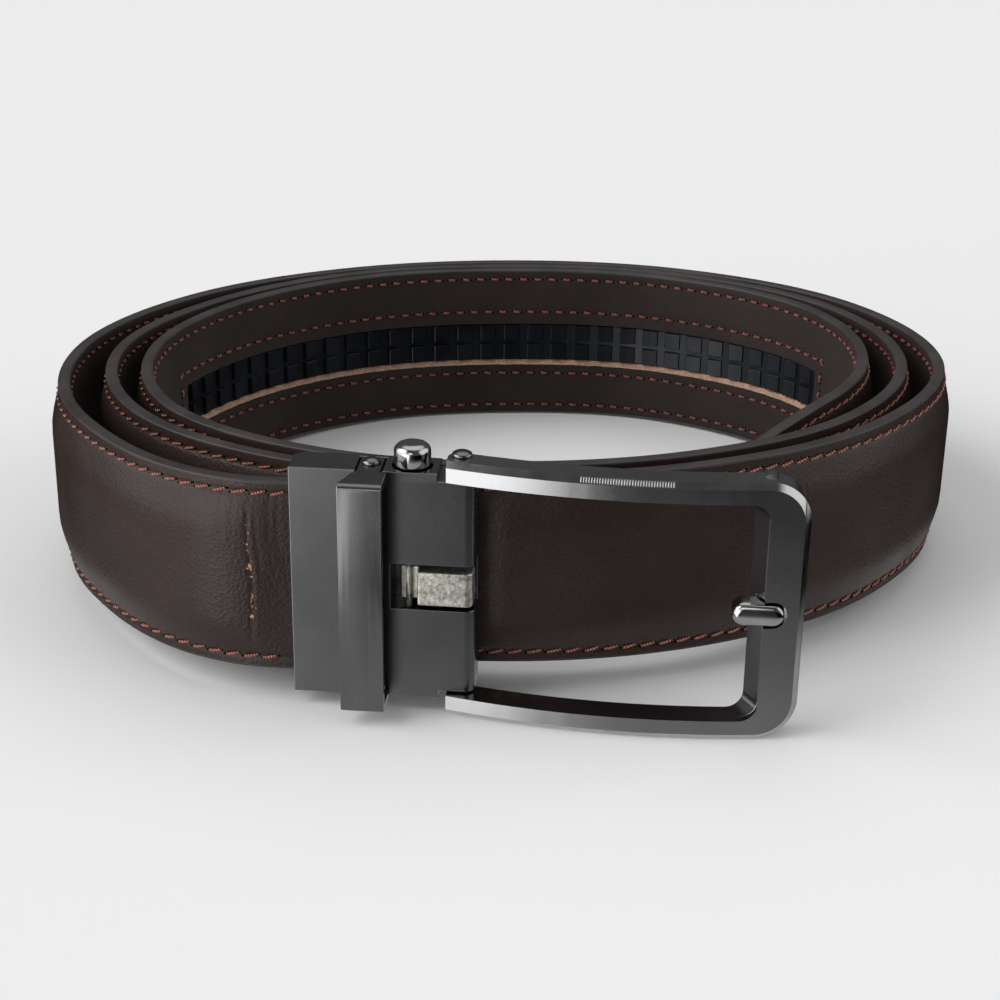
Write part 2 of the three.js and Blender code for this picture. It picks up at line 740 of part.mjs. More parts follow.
function prong() {
  const radius = prongHeight / 2;
  const middle = (prongStart + prongEnd) / 2;
  const front = -bowAt(middle) - prongProud;
  const back = -bowAt(prongEnd) + notchFloor - slip;
  const outline = new THREE.Shape();
  outline.absarc(prongEnd - radius, mid, radius - prongDome, -Math.PI / 2, Math.PI / 2);
  outline.absarc(prongStart + radius, mid, radius - prongDome, Math.PI / 2, 1.5 * Math.PI);
  const geometry = new THREE.ExtrudeGeometry(outline, {
    depth: back - front - prongDome, curveSegments: 6,
    bevelEnabled: true, bevelThickness: prongDome, bevelSize: prongDome, bevelSegments: 2,
  });
  geometry.rotateX(Math.PI / 2);
  geometry.translate(0, back, 0);
  const flatBack = box(prongStart - 1, prongEnd + 1, front - 1, back, mid - radius - 1, mid + radius + 1);
  return solidOf(geometry).intersect(flatBack);
}

// The assembly

function mesh(name, solid, look) {
  const piece = new THREE.Mesh(geometryOf(solid), look);
  piece.name = name;
  return piece;
}

const belt = new THREE.Group();
belt.add(mesh('strap_face', strapFace(), leather));
belt.add(mesh('strap_lining', strapLining(), liningLeather));
belt.add(mesh('ratchet_track', ratchetTrack(), plastic));

const buckle = new THREE.Group();
buckle.position.set(buckleLeft.x, buckleLeft.y, 0);
buckle.rotation.z = -yaw;
buckle.add(mesh('buckle_housing', buckleHousing(), gunmetal));
buckle.add(mesh('keeper_loop', keeperLoop(), gunmetal));
buckle.add(mesh('loop_rivet_top', loopRivet(1), gunmetal));
buckle.add(mesh('loop_rivet_bottom', loopRivet(-1), gunmetal));
buckle.add(mesh('release_button', releaseButton(), gunmetal));
buckle.add(mesh('pawl', pawl(), nickel));
buckle.add(mesh('pawl_pin', pawlPin(), nickel));
buckle.add(mesh('buckle_frame', buckleFrame(), gunmetal));
buckle.add(mesh('frame_rivet_top', frameRivet(1), gunmetal));
buckle.add(mesh('frame_rivet_bottom', frameRivet(-1), gunmetal));
buckle.add(mesh('prong', prong(), gunmetal));
belt.add(buckle);

const extent = new THREE.Box3().setFromObject(belt, true);
const middle = extent.getCenter(new THREE.Vector3());
belt.position.set(-middle.x, -middle.y, 0);

export default belt;
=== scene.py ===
"""A ratchet belt, rolled up and standing on its edge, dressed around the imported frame.

Lengths in the tables and constants are millimetres. Meshes are made in metres.
"""
import bisect
import random
from math import atan2, copysign, cos, degrees, exp, hypot, pi, radians, sin, sqrt

import bmesh
import bpy
from mathutils import Matrix, Vector


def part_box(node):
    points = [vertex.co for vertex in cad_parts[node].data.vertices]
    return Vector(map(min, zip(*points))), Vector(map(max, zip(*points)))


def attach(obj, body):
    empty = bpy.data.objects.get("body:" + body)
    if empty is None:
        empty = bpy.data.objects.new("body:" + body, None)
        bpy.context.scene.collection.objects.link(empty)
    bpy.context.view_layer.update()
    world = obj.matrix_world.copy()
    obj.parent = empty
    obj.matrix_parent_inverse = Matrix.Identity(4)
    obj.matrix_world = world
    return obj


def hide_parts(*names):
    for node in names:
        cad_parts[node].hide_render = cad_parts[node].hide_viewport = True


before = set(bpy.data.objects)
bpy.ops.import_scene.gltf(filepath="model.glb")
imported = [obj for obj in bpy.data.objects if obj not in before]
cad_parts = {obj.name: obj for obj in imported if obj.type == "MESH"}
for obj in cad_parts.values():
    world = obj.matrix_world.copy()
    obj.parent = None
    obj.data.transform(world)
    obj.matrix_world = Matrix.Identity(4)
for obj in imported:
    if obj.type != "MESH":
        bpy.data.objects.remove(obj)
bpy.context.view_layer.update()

MM = 0.001

# Sizes, as in the part's source
STRAP_WIDTH = 35.0
FACE_EDGE = 1.0
CROWN = 1.7
CROWN_PRESSED = 0.8
CROWN_SHOULDER = 9.0
LINING_THICKNESS = 1.15
PLY_GAP = 0.15
LAYER_GAP = 0.3
TIP_LENGTH = 40.0
TIP_FLAT = 8.0
COIL_REACH = 90.0
TIP_ANGLE = 328.0
ARC_STEP = 7.5
COIL = [
    (0, 0.862, 0.038, 0.023), (30, 0.950, 0.087, 0.028), (60, 0.996, 0.077, 0.033),
    (90, 0.974, 0.051, 0.038), (120, 0.906, 0.034, 0.014), (150, 0.843, 0.002, 0.003),
    (180, 0.833, 0.001, 0.001), (210, 0.889, 0.001, 0.001), (240, 0.960, 0.019, 0.016),
    (270, 0.970, 0.044, 0.047), (300, 0.883, 0.029, 0.053), (330, 0.806, 0.023, 0.007),
]
TRACK_FROM_TIP = 101.0
WINDOW_LENGTH = 176.5
WINDOW_HEIGHT = 9.2
TRACK_GAP = 0.3
TRACK_BASE = 0.35
TOOTH_PITCH = 5.6
TOOTH_RISE = 0.75
TOOTH_LAND = 0.67
TOOTH_RAMP = 0.4
TOOTH_GROOVE = 0.5
HOUSING_INSET = 2.5
HOUSING_DEPTH = 7.0
HOUSING_LENGTH = 31.3
HOUSING_YAW = 5.0
HOUSING_LEFT = -36.8
SEAT_GAP = 0.4
CLAMP_WALL = 1.1
CLAMP_GRIP = 9.5
SLIP = 0.3
SHOULDER_START = 25.0
SLOT_START = 17.0
SLOT_HEIGHT = 8.3
SLOT_DEPTH = 5.6
PAWL_START = 21.6
PAWL_HEIGHT = 6.2
PAWL_PROUD = 0.6
PAWL_BACK = 3.3
PIN_AT = 20.0
PIN_DEPTH = 1.2
PIN_RADIUS = 0.5
PAWL_TAIL = 1.6
BUTTON_AT = 20.4
BUTTON_RADIUS = 3.1
BUTTON_RISE = 4.0
BUTTON_TRAVEL = 2.0
BUTTON_SUNK = 5.5
LOOP_START = 9.2
LOOP_WIDTH = 7.4
LOOP_THICK = 1.5
LOOP_GAP = 5.4
LOOP_ROUND = 1.2
LOOP_TAPER = 1.9
TONGUE_START = 11.5
TONGUE_WIDTH = 4.0
TONGUE_DEPTH = 5.8
LOOP_RIVET_RADIUS = 1.6
LOOP_RIVET_RISE = 0.9
FRAME_HEIGHT = 47.0
FRAME_END = 86.3
FRAME_START = 26.5
FRAME_DEPTH = 5.2
RAIL_HEIGHT = 3.6
BAR_WIDTH = 6.7
INNER_BEVEL = 3.3
INNER_CORNER = 3.2
BAR_LAND = 1.2
FRAME_CORNER = 7.2
FRAME_CHAMFER = 1.0
KNUCKLE_RADIUS = 2.0
NUB_AT = 79.5
NUB_RADIUS = 1.4
NUB_RISE = 0.45
NUB_LENGTH = 2.0
BOW_APEX = 60.0
BOW_PROUD = 5.2
BOW_RADIUS = 135.0
HINGE_AT = 28.8
HINGE_DEPTH = 2.4
FRAME_RIVET_RADIUS = 1.7
FRAME_RIVET_RISE = 0.8
PRONG_START = 74.3
PRONG_END = 83.0
PRONG_HEIGHT = 4.0
PRONG_PROUD = 0.4
NOTCH_FLOOR = 2.9
PRONG_GAP = 0.4
HINGE_PIN_RADIUS = 1.1
HINGE_PIN_REACH = 2.4
HOUSING_BORE = 1.25
FRAME_BORE = 1.4
SEAT = 0.1

LINING_OUTER = FACE_EDGE + PLY_GAP
STRAP_EDGE = LINING_OUTER + LINING_THICKNESS
TURN_PITCH = STRAP_EDGE + CROWN_PRESSED + LAYER_GAP
MID = FRAME_HEIGHT / 2
STRAP_LIFT = MID - STRAP_WIDTH / 2
HOUSING_TOP = FRAME_HEIGHT - HOUSING_INSET
HOUSING_BOTTOM = HOUSING_INSET
SHOULDER_TOP = FRAME_HEIGHT - RAIL_HEIGHT - SLIP
SHOULDER_BOTTOM = RAIL_HEIGHT + SLIP
TONGUE_SEAT = LOOP_THICK + SLIP
YAW = radians(HOUSING_YAW)

# Sizes of the looks alone
RUN_STEP = 2.0            # between two sections of the strap
STITCH_INSET = 2.05
STITCH_PITCH = 3.4
STITCH_LENGTH = 2.85
STITCH_RADIUS = 0.27
INNER_STITCH_LENGTH = 1.9
INNER_STITCH_RADIUS = 0.33
CHANNEL_DEPTH = 0.2
SLOT_STITCH_OUT = 2.95    # from the window's edge to its stitches
LEDGE = 0.85              # how far the window's lower edge is skived back
CREASE_RUN = 16.4
DENT_DEPTH = 0.16         # of the lining along its stitches
LOOP_CROWN = 0.16         # how far the loop's front curves back at its sides
FLUTE_PITCH = 15.4 / 35


# The strap's path

def smoothstep(low, high, value):
    t = min(1.0, max(0.0, (value - low) / (high - low)))
    return t * t * (3 - 2 * t)


TURN_BEHIND = COIL_REACH * (COIL[0][1] - COIL[0][2]) - TURN_PITCH
BUCKLE_LEFT = (
    HOUSING_LEFT,
    HOUSING_LENGTH * sin(YAW) - HOUSING_DEPTH * cos(YAW) - TURN_BEHIND - CROWN_PRESSED - SEAT_GAP,
)


def from_buckle(x, y):
    """Plan position, from the buckle's x (along) and y (away from the viewer)."""
    return (BUCKLE_LEFT[0] + x * cos(YAW) + y * sin(YAW),
            BUCKLE_LEFT[1] - x * sin(YAW) + y * cos(YAW))


def heading_of(point):
    return degrees(atan2(-point[0], -point[1])) % 360


def radius_stations():
    """Rows of [angle, radius, room outside the turn, slope]."""
    strap_y = CLAMP_WALL + SLIP
    rows = []
    for x in (0, -5):
        point = from_buckle(x, strap_y)
        rows.append([heading_of(point), hypot(*point), CROWN, 0.0])
    slope = (rows[1][1] - rows[0][1]) / (rows[1][0] - rows[0][0])
    rows[0][3] = rows[1][3] = slope
    for turn in range(3):
        for at, outer, second, inner in COIL:
            slack = (0, second, second + inner)[turn]
            room = (CROWN, CROWN_PRESSED + second * COIL_REACH, CROWN_PRESSED + inner * COIL_REACH)[turn]
            if at + 360 * turn > rows[1][0] + ARC_STEP:
                rows.append([at + 360 * turn, (outer - slack) * COIL_REACH - turn * TURN_PITCH, room, 0.0])
    for i in range(2, len(rows)):
        after = rows[min(i + 1, len(rows) - 1)]
        rows[i][3] = (after[1] - rows[i - 1][1]) / (after[0] - rows[i - 1][0])
    return rows


def around(rows, at):
    i = 0
    while i < len(rows) - 2 and at > rows[i + 1][0]:
        i += 1
    return rows[i], rows[i + 1]


def radius_at(rows, at):
    a, b = around(rows, at)
    span = b[0] - a[0]
    t = (at - a[0]) / span
    return ((2 * t**3 - 3 * t**2 + 1) * a[1] + (t**3 - 2 * t**2 + t) * span * a[3]
            + (3 * t**2 - 2 * t**3) * b[1] + (t**3 - t**2) * span * b[3])


def room_at(rows, at, x, y):
    a, b = around(rows, at)
    free = a[2] + (b[2] - a[2]) * (at - a[0]) / (b[0] - a[0])
    if at < 180:
        return free
    fx, fy = x - BUCKLE_LEFT[0], y - BUCKLE_LEFT[1]
    along = fx * cos(YAW) - fy * sin(YAW)
    behind = fx * sin(YAW) + fy * cos(YAW) - HOUSING_DEPTH - SEAT_GAP
    beyond = max(0.0, along - HOUSING_LENGTH, -along)
    return min(free, max(CROWN_PRESSED, behind) + beyond / 4)


def strap_path():
    """Places along the strap's outer edge line: (x, y, outward x, outward y, room, run)."""
    rows = radius_stations()
    strap_y = CLAMP_WALL + SLIP
    points = []
    for i in range(6):
        x, y = from_buckle((CLAMP_GRIP - SLIP) * (1 - i / 6), strap_y)
        points.append((x, y, CROWN))
    start, end = rows[0][0], TIP_ANGLE + 720
    steps = int((end - start) / 1.0)
    for i in range(steps + 1):
        at = start + (end - start) * i / steps
        radius = radius_at(rows, at)
        turn = radians(at)
        x, y = -radius * sin(turn), -radius * cos(turn)
        points.append((x, y, room_at(rows, at, x, y)))
    places, run = [], 0.0
    for i, (x, y, room) in enumerate(points):
        ax, ay, _ = points[max(i - 1, 0)]
        bx, by, _ = points[min(i + 1, len(points) - 1)]
        length = hypot(bx - ax, by - ay)
        if i:
            run += hypot(x - ax, y - ay)
        places.append((x, y, -(by - ay) / length, (bx - ax) / length, room, run))
    return places


PATH = strap_path()
STRAP_LENGTH = PATH[-1][5]
TIP_START = STRAP_LENGTH - TIP_LENGTH
BACK_EDGE = max(y + CROWN * oy for _, y, _, oy, _, _ in PATH)
CLAMP_Y = PATH[0][1]

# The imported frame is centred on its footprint: the button's axis says by how much
button_low, button_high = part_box("release_button")
button_plan = from_buckle(BUTTON_AT, HOUSING_DEPTH / 2)
SHIFT = ((button_low[0] + button_high[0]) / 2 / MM - button_plan[0],
         (button_low[1] + button_high[1]) / 2 / MM - button_plan[1])


RUNS = [place[5] for place in PATH]


def place_at(run):
    """The strap's place at a length along it: x, y, outward x, outward y, room."""
    high = min(max(bisect.bisect_right(RUNS, run), 1), len(PATH) - 1)
    a, b = PATH[high - 1], PATH[high]
    t = (run - a[5]) / (b[5] - a[5])
    return [a[k] + (b[k] - a[k]) * t for k in range(5)]


def half_width_at(run):
    into = min(1.0, max(0.0, run - TIP_START) / TIP_LENGTH)
    return TIP_FLAT / 2 + (STRAP_WIDTH / 2 - TIP_FLAT / 2) * sqrt(1 - into * into)


def on_strap(run, up, inward):
    """A point of the strap, in metres: along it, up its width, and inward from its outer edge line."""
    x, y, ox, oy, _ = place_at(run)
    lift = STRAP_LIFT * (BACK_EDGE - y) / (BACK_EDGE - CLAMP_Y)
    return Vector((x - inward * ox + SHIFT[0], y - inward * oy + SHIFT[1], up + lift)) * MM


def crown_height(run, up):
    """How far the outer leather's surface stands proud of the strap's outer edge line."""
    room = place_at(run)[4]
    half = half_width_at(run)
    edge = half - abs(up - STRAP_WIDTH / 2)
    width = min(CROWN_SHOULDER, half * 0.8)
    from_clamp = smoothstep(CLAMP_GRIP, CLAMP_GRIP + STRAP_WIDTH / 2, run)
    rise = min(CROWN, room) * from_clamp * (half / (STRAP_WIDTH / 2)) * smoothstep(0, width, edge)
    channel = CHANNEL_DEPTH * exp(-((edge - STITCH_INSET) / 0.55) ** 2)
    return rise - channel - crease(run, up)


def crease_line(up):
    return CREASE_RUN + 0.35 * sin(up * 0.31) + 0.12 * sin(up * 1.3 + 1)


def crease(run, up):
    """Depth of the folds that the leather has taken just outside the clamp."""
    line = crease_line(up)
    strength = smoothstep(3, 8, up) * (1 - smoothstep(29, 33, up))
    depth = 0.14 * strength * exp(-((run - line) / 0.3) ** 2)
    for offset, low, high, size in ((-1.3, 19, 31, 0.08), (-3.6, 26, 34, 0.07), (-5.0, 24, 34, 0.06),
                                    (2.6, 27, 33.5, 0.05), (4.6, 28, 34, 0.04)):
        bend = line + offset + 0.05 * (up - 28)
        fade = smoothstep(low - 3, low, up) * (1 - smoothstep(high - 1, high, up))
        depth += size * fade * exp(-((run - bend) / 0.3) ** 2)
    return depth


# Meshes

def make_mesh(name, points, faces, materials, face_slots=None, smooth=True):
    mesh = bpy.data.meshes.new(name)
    mesh.from_pydata(points, [], faces)
    for material in materials:
        mesh.materials.append(material)
    if face_slots:
        mesh.polygons.foreach_set("material_index", face_slots)
    mesh.polygons.foreach_set("use_smooth", [smooth] * len(faces))
    mesh.update()
    return mesh


def link_object(name, mesh):
    obj = bpy.data.objects.new(name, mesh)
    bpy.context.scene.collection.objects.link(obj)
    return obj


def add_piece(name, mesh, body, node=None):
    obj = link_object(name, mesh)
    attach(obj, body)
    if node:
        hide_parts(node)
    return obj


def clean(mesh, sharp_angle=None, merged=False):
    """Turns the faces outward, marks edges beyond an angle as sharp, and may merge coplanar faces."""
    work = bmesh.new()
    work.from_mesh(mesh)
    if merged:
        bmesh.ops.remove_doubles(work, verts=work.verts, dist=1e-6)
        bmesh.ops.dissolve_limit(work, angle_limit=radians(1.5), verts=work.verts, edges=work.edges)
        for face in work.faces:
            face.smooth = True
    bmesh.ops.recalc_face_normals(work, faces=work.faces)
    if sharp_angle:
        for edge in work.edges:
            if len(edge.link_faces) == 2 and edge.calc_face_angle() > radians(sharp_angle):
                edge.smooth = False
    work.to_mesh(mesh)
    work.free()


def loft(rings, corners, first=0):
    """Faces of a closed form through rings of points that follow one another, its two ends capped."""
    faces = []
    for ring in range(first, first + (rings - 1) * corners, corners):
        for k in range(corners):
            a, b = ring + k, ring + (k + 1) % corners
            faces.append((a, b, b + corners, a + corners))
    last = first + (rings - 1) * corners
    return faces + [tuple(range(first, first + corners)), tuple(range(last, last + corners))]


def soften(obj, width, segments, angle):
    """Rounds the sharp edges of a hard piece."""
    bevel = obj.modifiers.new("edge_rounding", "BEVEL")
    bevel.width = width * MM
    bevel.segments = segments
    bevel.limit_method = "ANGLE"
    bevel.angle_limit = radians(angle)
    bevel.harden_normals = True


def scratch(name, points, faces):
    """A closed solid for cutting with, from points in buckle millimetres."""
    mesh = make_mesh(name, points, faces, [], smooth=False)
    clean(mesh)
    return link_object(name, mesh)


def prism(outline, low, high, axis="z"):
    """An outline raised between two levels: drawn in plan (axis z), from the front (y) or from a side (x)."""
    count = len(outline)
    order = {"x": (2, 0, 1), "y": (0, 2, 1), "z": (0, 1, 2)}[axis]
    flat = [(a, b, level) for level in (low, high) for a, b in outline]
    points = [tuple(point[k] for k in order) for point in flat]
    faces = [tuple(range(count)), tuple(range(count, 2 * count))]
    faces += [(i, (i + 1) % count, count + (i + 1) % count, count + i) for i in range(count)]
    return scratch("cutter", points, faces)


def block(x0, x1, y0, y1, z0, z1):
    return prism([(x0, y0), (x1, y0), (x1, y1), (x0, y1)], z0, z1)


def arc(cx, cy, radius, start, end, steps):
    """Points on an arc, angles in degrees."""
    turns = [radians(start + (end - start) * i / steps) for i in range(steps + 1)]
    return [(cx + radius * cos(turn), cy + radius * sin(turn)) for turn in turns]


def combine(obj, other, operation):
    """Boolean of two scratch solids, applied. The other solid is used up."""
    modifier = obj.modifiers.new("combine", "BOOLEAN")
    modifier.operation = operation
    modifier.solver = "EXACT"
    modifier.object = other
    depsgraph = bpy.context.evaluated_depsgraph_get()
    result = bpy.data.meshes.new_from_object(obj.evaluated_get(depsgraph))
    obj.modifiers.clear()
    obj.data = result
    bpy.data.objects.remove(other)


def cut(obj, *others):
    for other in others:
        combine(obj, other, "DIFFERENCE")


def to_world(points):
    """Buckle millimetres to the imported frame's metres."""
    out = []
    for x, y, z in points:
        px, py = from_buckle(x, y)
        out.append(((px + SHIFT[0]) * MM, (py + SHIFT[1]) * MM, z * MM))
    return out


def from_scratch(name, obj, body, materials, node):
    """Turns a scratch solid into a finished piece in its place."""
    mesh = obj.data
    bpy.data.objects.remove(obj)
    points = to_world([tuple(v.co) for v in mesh.vertices])
    faces = [tuple(p.vertices) for p in mesh.polygons]
    piece = make_mesh(name, points, faces, materials)
    clean(piece, 35, merged=True)
    return add_piece(name, piece, body, node)


def turned_piece(name, profile, x, y, body, material, node, sides=40):
    """A turned piece, from its profile of (radius, z) that starts and ends on the axis."""
    points, faces = [], []
    rings = profile[1:-1]
    for radius, z in rings:
        points += [(*spot, z) for spot in arc(x, y, radius, 0, 360 * (sides - 1) / sides, sides - 1)]
    for i in range(len(rings) - 1):
        for k in range(sides):
            a, b = i * sides + k, i * sides + (k + 1) % sides
            faces.append((a, b, b + sides, a + sides))
    points += [(x, y, profile[0][1]), (x, y, profile[-1][1])]
    last = (len(rings) - 1) * sides
    for k in range(sides):
        after = (k + 1) % sides
        faces += [(len(points) - 2, after, k), (len(points) - 1, last + k, last + after)]
    mesh = make_mesh(name, to_world(points), faces, [material])
    clean(mesh)
    add_piece(name, mesh, body, node)


# Materials

class Nodes:
    """A node tree, with short ways to add nodes and to set or link their sockets."""

    def __init__(self, tree):
        self.tree = tree

    def put(self, socket, value):
        if isinstance(value, bpy.types.NodeSocket):
            self.tree.links.new(value, socket)
        else:
            socket.default_value = (*value, 1) if socket.type == "RGBA" else value

    def node(self, kind, inputs=None, **settings):
        made = self.tree.nodes.new(kind)
        for key, value in settings.items():
            setattr(made, key, value)
        for key, value in (inputs or {}).items():
            self.put(made.inputs[key], value)
        return made

    def math(self, operation, a, b):
        return self.node("ShaderNodeMath", {0: a, 1: b}, operation=operation).outputs["Value"]

    def spread(self, source, low, high, from_low=0.3, from_high=0.7, **settings):
        inputs = {"Value": source, "From Min": from_low, "From Max": from_high, "To Min": low, "To Max": high}
        return self.node("ShaderNodeMapRange", inputs, **settings).outputs["Result"]


class Shader(Nodes):
    """A Principled material, with the textures that the others share."""

    def __init__(self, name, **sockets):
        self.material = bpy.data.materials.new(name)
        self.material.use_nodes = True
        super().__init__(self.material.node_tree)
        self.place = self.node("ShaderNodeTexCoord").outputs["Object"]
        self.use(**sockets)

    def use(self, **sockets):
        bsdf = self.tree.nodes["Principled BSDF"]
        for key, value in sockets.items():
            self.put(bsdf.inputs[key.replace("_", " ")], value)
        return self.material

    def scaled(self, scale, rotation=(0, 0, 0)):
        inputs = {"Vector": self.place, "Scale": scale, "Rotation": rotation}
        return self.node("ShaderNodeMapping", inputs).outputs["Vector"]

    def noise(self, scale, detail=3, roughness=0.5, vector=None):
        inputs = {"Vector": vector or self.place, "Scale": scale, "Detail": detail, "Roughness": roughness}
        return self.node("ShaderNodeTexNoise", inputs).outputs["Fac"]

    def voronoi(self, scale):
        inputs = {"Vector": self.place, "Scale": scale}
        return self.node("ShaderNodeTexVoronoi", inputs).outputs["Distance"]

    def ramp(self, source, *stops):
        made = self.node("ShaderNodeValToRGB", {"Fac": source})
        elements = made.color_ramp.elements
        while len(elements) < len(stops):
            elements.new(0.5)
        for element, (at, color) in zip(elements, stops):
            element.position = at
            element.color = (*color, 1)
        return made.outputs["Color"]

    def shades(self, source, dark, light):
        return self.ramp(source, (0.3, dark), (0.7, light))

    def mix(self, factor, a, b, blend="MIX"):
        inputs = {0: factor, 6: a, 7: b}
        return self.node("ShaderNodeMix", inputs, data_type="RGBA", blend_type=blend).outputs[2]

    def bump(self, height, distance, strength=1.0, below=None):
        inputs = {"Height": height, "Distance": distance * MM, "Strength": strength}
        if below is not None:
            inputs["Normal"] = below
        return self.node("ShaderNodeBump", inputs).outputs["Normal"]


def outer_leather_material():
    s = Shader("outer_leather", Specular_IOR_Level=0.27)
    patches = s.noise(28, 4, 0.6)
    base = s.shades(patches, (0.021, 0.0125, 0.0105), (0.034, 0.020, 0.0165))
    grain = s.voronoi(1700)
    pores = s.ramp(grain, (0.1, (0.55, 0.55, 0.55)), (0.5, (1, 1, 1)))
    toned = s.mix(0.8, base, pores, "MULTIPLY")
    wear = s.node("ShaderNodeAttribute", attribute_name="scuff").outputs["Fac"]
    fibres = s.noise(1500, 3, 0.6, s.scaled((1, 1, 0.55)))
    worn = s.math("MULTIPLY", s.spread(wear, 0, 0.16, 0, 1), s.spread(s.noise(260), 0.4, 1))
    specks = s.spread(s.math("ADD", fibres, worn), 0, 1, 0.66, 0.71)
    specks = s.math("MULTIPLY", specks, s.spread(wear, 0, 1, 0.04, 0.2))
    colour = s.mix(specks, toned, (0.50, 0.27, 0.14))
    rough = s.spread(s.noise(60, 3), 0.33, 0.46)
    fine = s.bump(s.noise(2600, 2), 0.05, 0.7)
    normal = s.bump(grain, 0.07, 0.7, fine)
    return s.use(Base_Color=colour, Roughness=rough, Normal=normal)


def lining_material():
    s = Shader("lining_leather", Specular_IOR_Level=0.25, Sheen_Weight=0.05, Sheen_Roughness=0.5,
               Sheen_Tint=(0.5, 0.42, 0.36))
    base = s.shades(s.noise(40, 5, 0.65), (0.013, 0.0085, 0.0075), (0.025, 0.0165, 0.0135))
    nap = s.noise(1500, 4, 0.7)
    colour = s.mix(s.spread(nap, 0, 0.35, 0.55, 0.75), base, (0.075, 0.048, 0.036))
    normal = s.bump(nap, 0.08, 0.5)
    return s.use(Base_Color=colour, Roughness=s.spread(nap, 0.6, 0.8), Normal=normal)


def cut_edge_material():
    s = Shader("cut_edge", Specular_IOR_Level=0.25)
    fibre = s.noise(1800, 4, 0.7)
    colour = s.ramp(fibre, (0.35, (0.30, 0.17, 0.115)), (0.65, (0.56, 0.37, 0.27)))
    return s.use(Base_Color=colour, Roughness=s.spread(fibre, 0.7, 0.9), Normal=s.bump(fibre, 0.15, 0.6))


def painted_edge_material():
    s = Shader("painted_edge", Specular_IOR_Level=0.35)
    waves = s.noise(90, 4, 0.6)
    colour = s.shades(waves, (0.024, 0.019, 0.0195), (0.048, 0.039, 0.040))
    normal = s.bump(s.noise(450, 4, 0.6), 0.14, 0.5)
    return s.use(Base_Color=colour, Roughness=s.spread(waves, 0.38, 0.52), Normal=normal)


def thread_material(name, dark, light):
    s = Shader(name, Specular_IOR_Level=0.6)
    across = s.scaled((1, 1, 1), (0.4, 0.5, 0.2))
    twist = s.node("ShaderNodeTexWave", {"Vector": across, "Scale": 620, "Distortion": 1.5}).outputs["Fac"]
    fibre = s.noise(2500, 3, 0.6)
    # The colour darkens in the grooves of the twist and brightens on its crests: painted shade and painted
    # highlight, over the fibres' random tone.
    painted_twist_shade_and_highlight = s.math("MULTIPLY", s.spread(twist, 0, 1, 0.1, 0.8), s.spread(fibre, 0.55, 1))
    colour = s.mix(painted_twist_shade_and_highlight, dark, light)
    normal = s.bump(twist, 0.16)
    return s.use(Base_Color=colour, Roughness=s.spread(fibre, 0.28, 0.42), Normal=normal)


# Near-black for the mounds at the stitch holes: painted shade in the holes.
def hole_shade_material():
    s = Shader("stitch_hole_painted_shade", Specular_IOR_Level=0.1)
    colour = s.shades(s.noise(900), (0.002, 0.0015, 0.0012), (0.004, 0.003, 0.0025))
    return s.use(Base_Color=colour, Roughness=s.spread(s.noise(900), 0.8, 0.95))


def track_material():
    s = Shader("track_plastic", Specular_IOR_Level=0.22)
    mottle = s.noise(120, 3)
    colour = s.shades(mottle, (0.0025, 0.0035, 0.006), (0.005, 0.007, 0.0115))
    normal = s.bump(s.noise(1600, 3), 0.03, 0.5)
    return s.use(Base_Color=colour, Roughness=s.spread(mottle, 0.3, 0.42), Normal=normal)


def satin_metal_material(name, low, high, rough):
    s = Shader(name, Metallic=1.0)
    cloud = s.noise(45, 4, 0.6)
    blast = s.noise(2600, 2, 0.5)
    colour = s.shades(cloud, (low, low, low * 1.02), (high, high, high * 1.02))
    roughness = s.math("ADD", s.spread(cloud, rough - 0.02, rough + 0.02), s.spread(blast, -0.01, 0.02))
    return s.use(Base_Color=colour, Roughness=roughness, Normal=s.bump(blast, 0.004, 0.5))


def polished_metal_material(name, low, high, rough):
    s = Shader(name, Metallic=1.0)
    smear = s.noise(160, 5, 0.65)
    colour = s.shades(smear, (low, low * 0.99, low * 0.98), (high, high * 0.99, high * 0.98))
    roughness = s.spread(smear, rough, rough + 0.07)
    return s.use(Base_Color=colour, Roughness=roughness, Normal=s.bump(s.noise(700, 4), 0.01, 0.4))


def tumbled_metal_material():
    s = Shader("tumbled_nickel", Metallic=1.0)
    pits = s.voronoi(1500)
    blotch = s.noise(900, 5, 0.7)
    colour = s.ramp(blotch, (0.35, (0.36, 0.34, 0.30)), (0.5, (0.58, 0.56, 0.50)), (0.68, (0.88, 0.86, 0.79)))
    normal = s.bump(pits, 0.05, 0.5, s.bump(blotch, 0.05, 0.6))
    return s.use(Base_Color=colour, Roughness=s.spread(blotch, 0.3, 0.55), Normal=normal)


LEATHER = outer_leather_material()
LINING = lining_material()
CUT_EDGE = cut_edge_material()
EDGE_PAINT = painted_edge_material()
# The thread's reddish brown runs from a dark colour, painted shade in the twist's grooves, to a light colour,
# painted highlight on its crests.
THREAD = thread_material("thread", (0.10, 0.028, 0.021), (0.56, 0.185, 0.13))
# A darker copy of the same thread, for the stitches on the lining inside the coil: painted shade.
SHADED_THREAD_COPY = thread_material("thread_in_painted_shade", (0.08, 0.02, 0.018), (0.36, 0.09, 0.074))
# Painted shade for the stitch holes.
HOLE_SHADE = hole_shade_material()
TRACK = track_material()
SATIN = satin_metal_material("satin_gunmetal", 0.15, 0.175, 0.25)
RIVET = polished_metal_material("rivet_gunmetal", 0.13, 0.18, 0.16)
FRAME_SATIN = satin_metal_material("frame_gunmetal", 0.27, 0.32, 0.2)
POLISHED = polished_metal_material("polished_gunmetal", 0.33, 0.42, 0.1)
TUMBLED = tumbled_metal_material()


# Strap pieces

def run_stations(start, end, step):
    count = max(2, int(round((end - start) / step)))
    return [start + (end - start) * i / count for i in range(count + 1)]


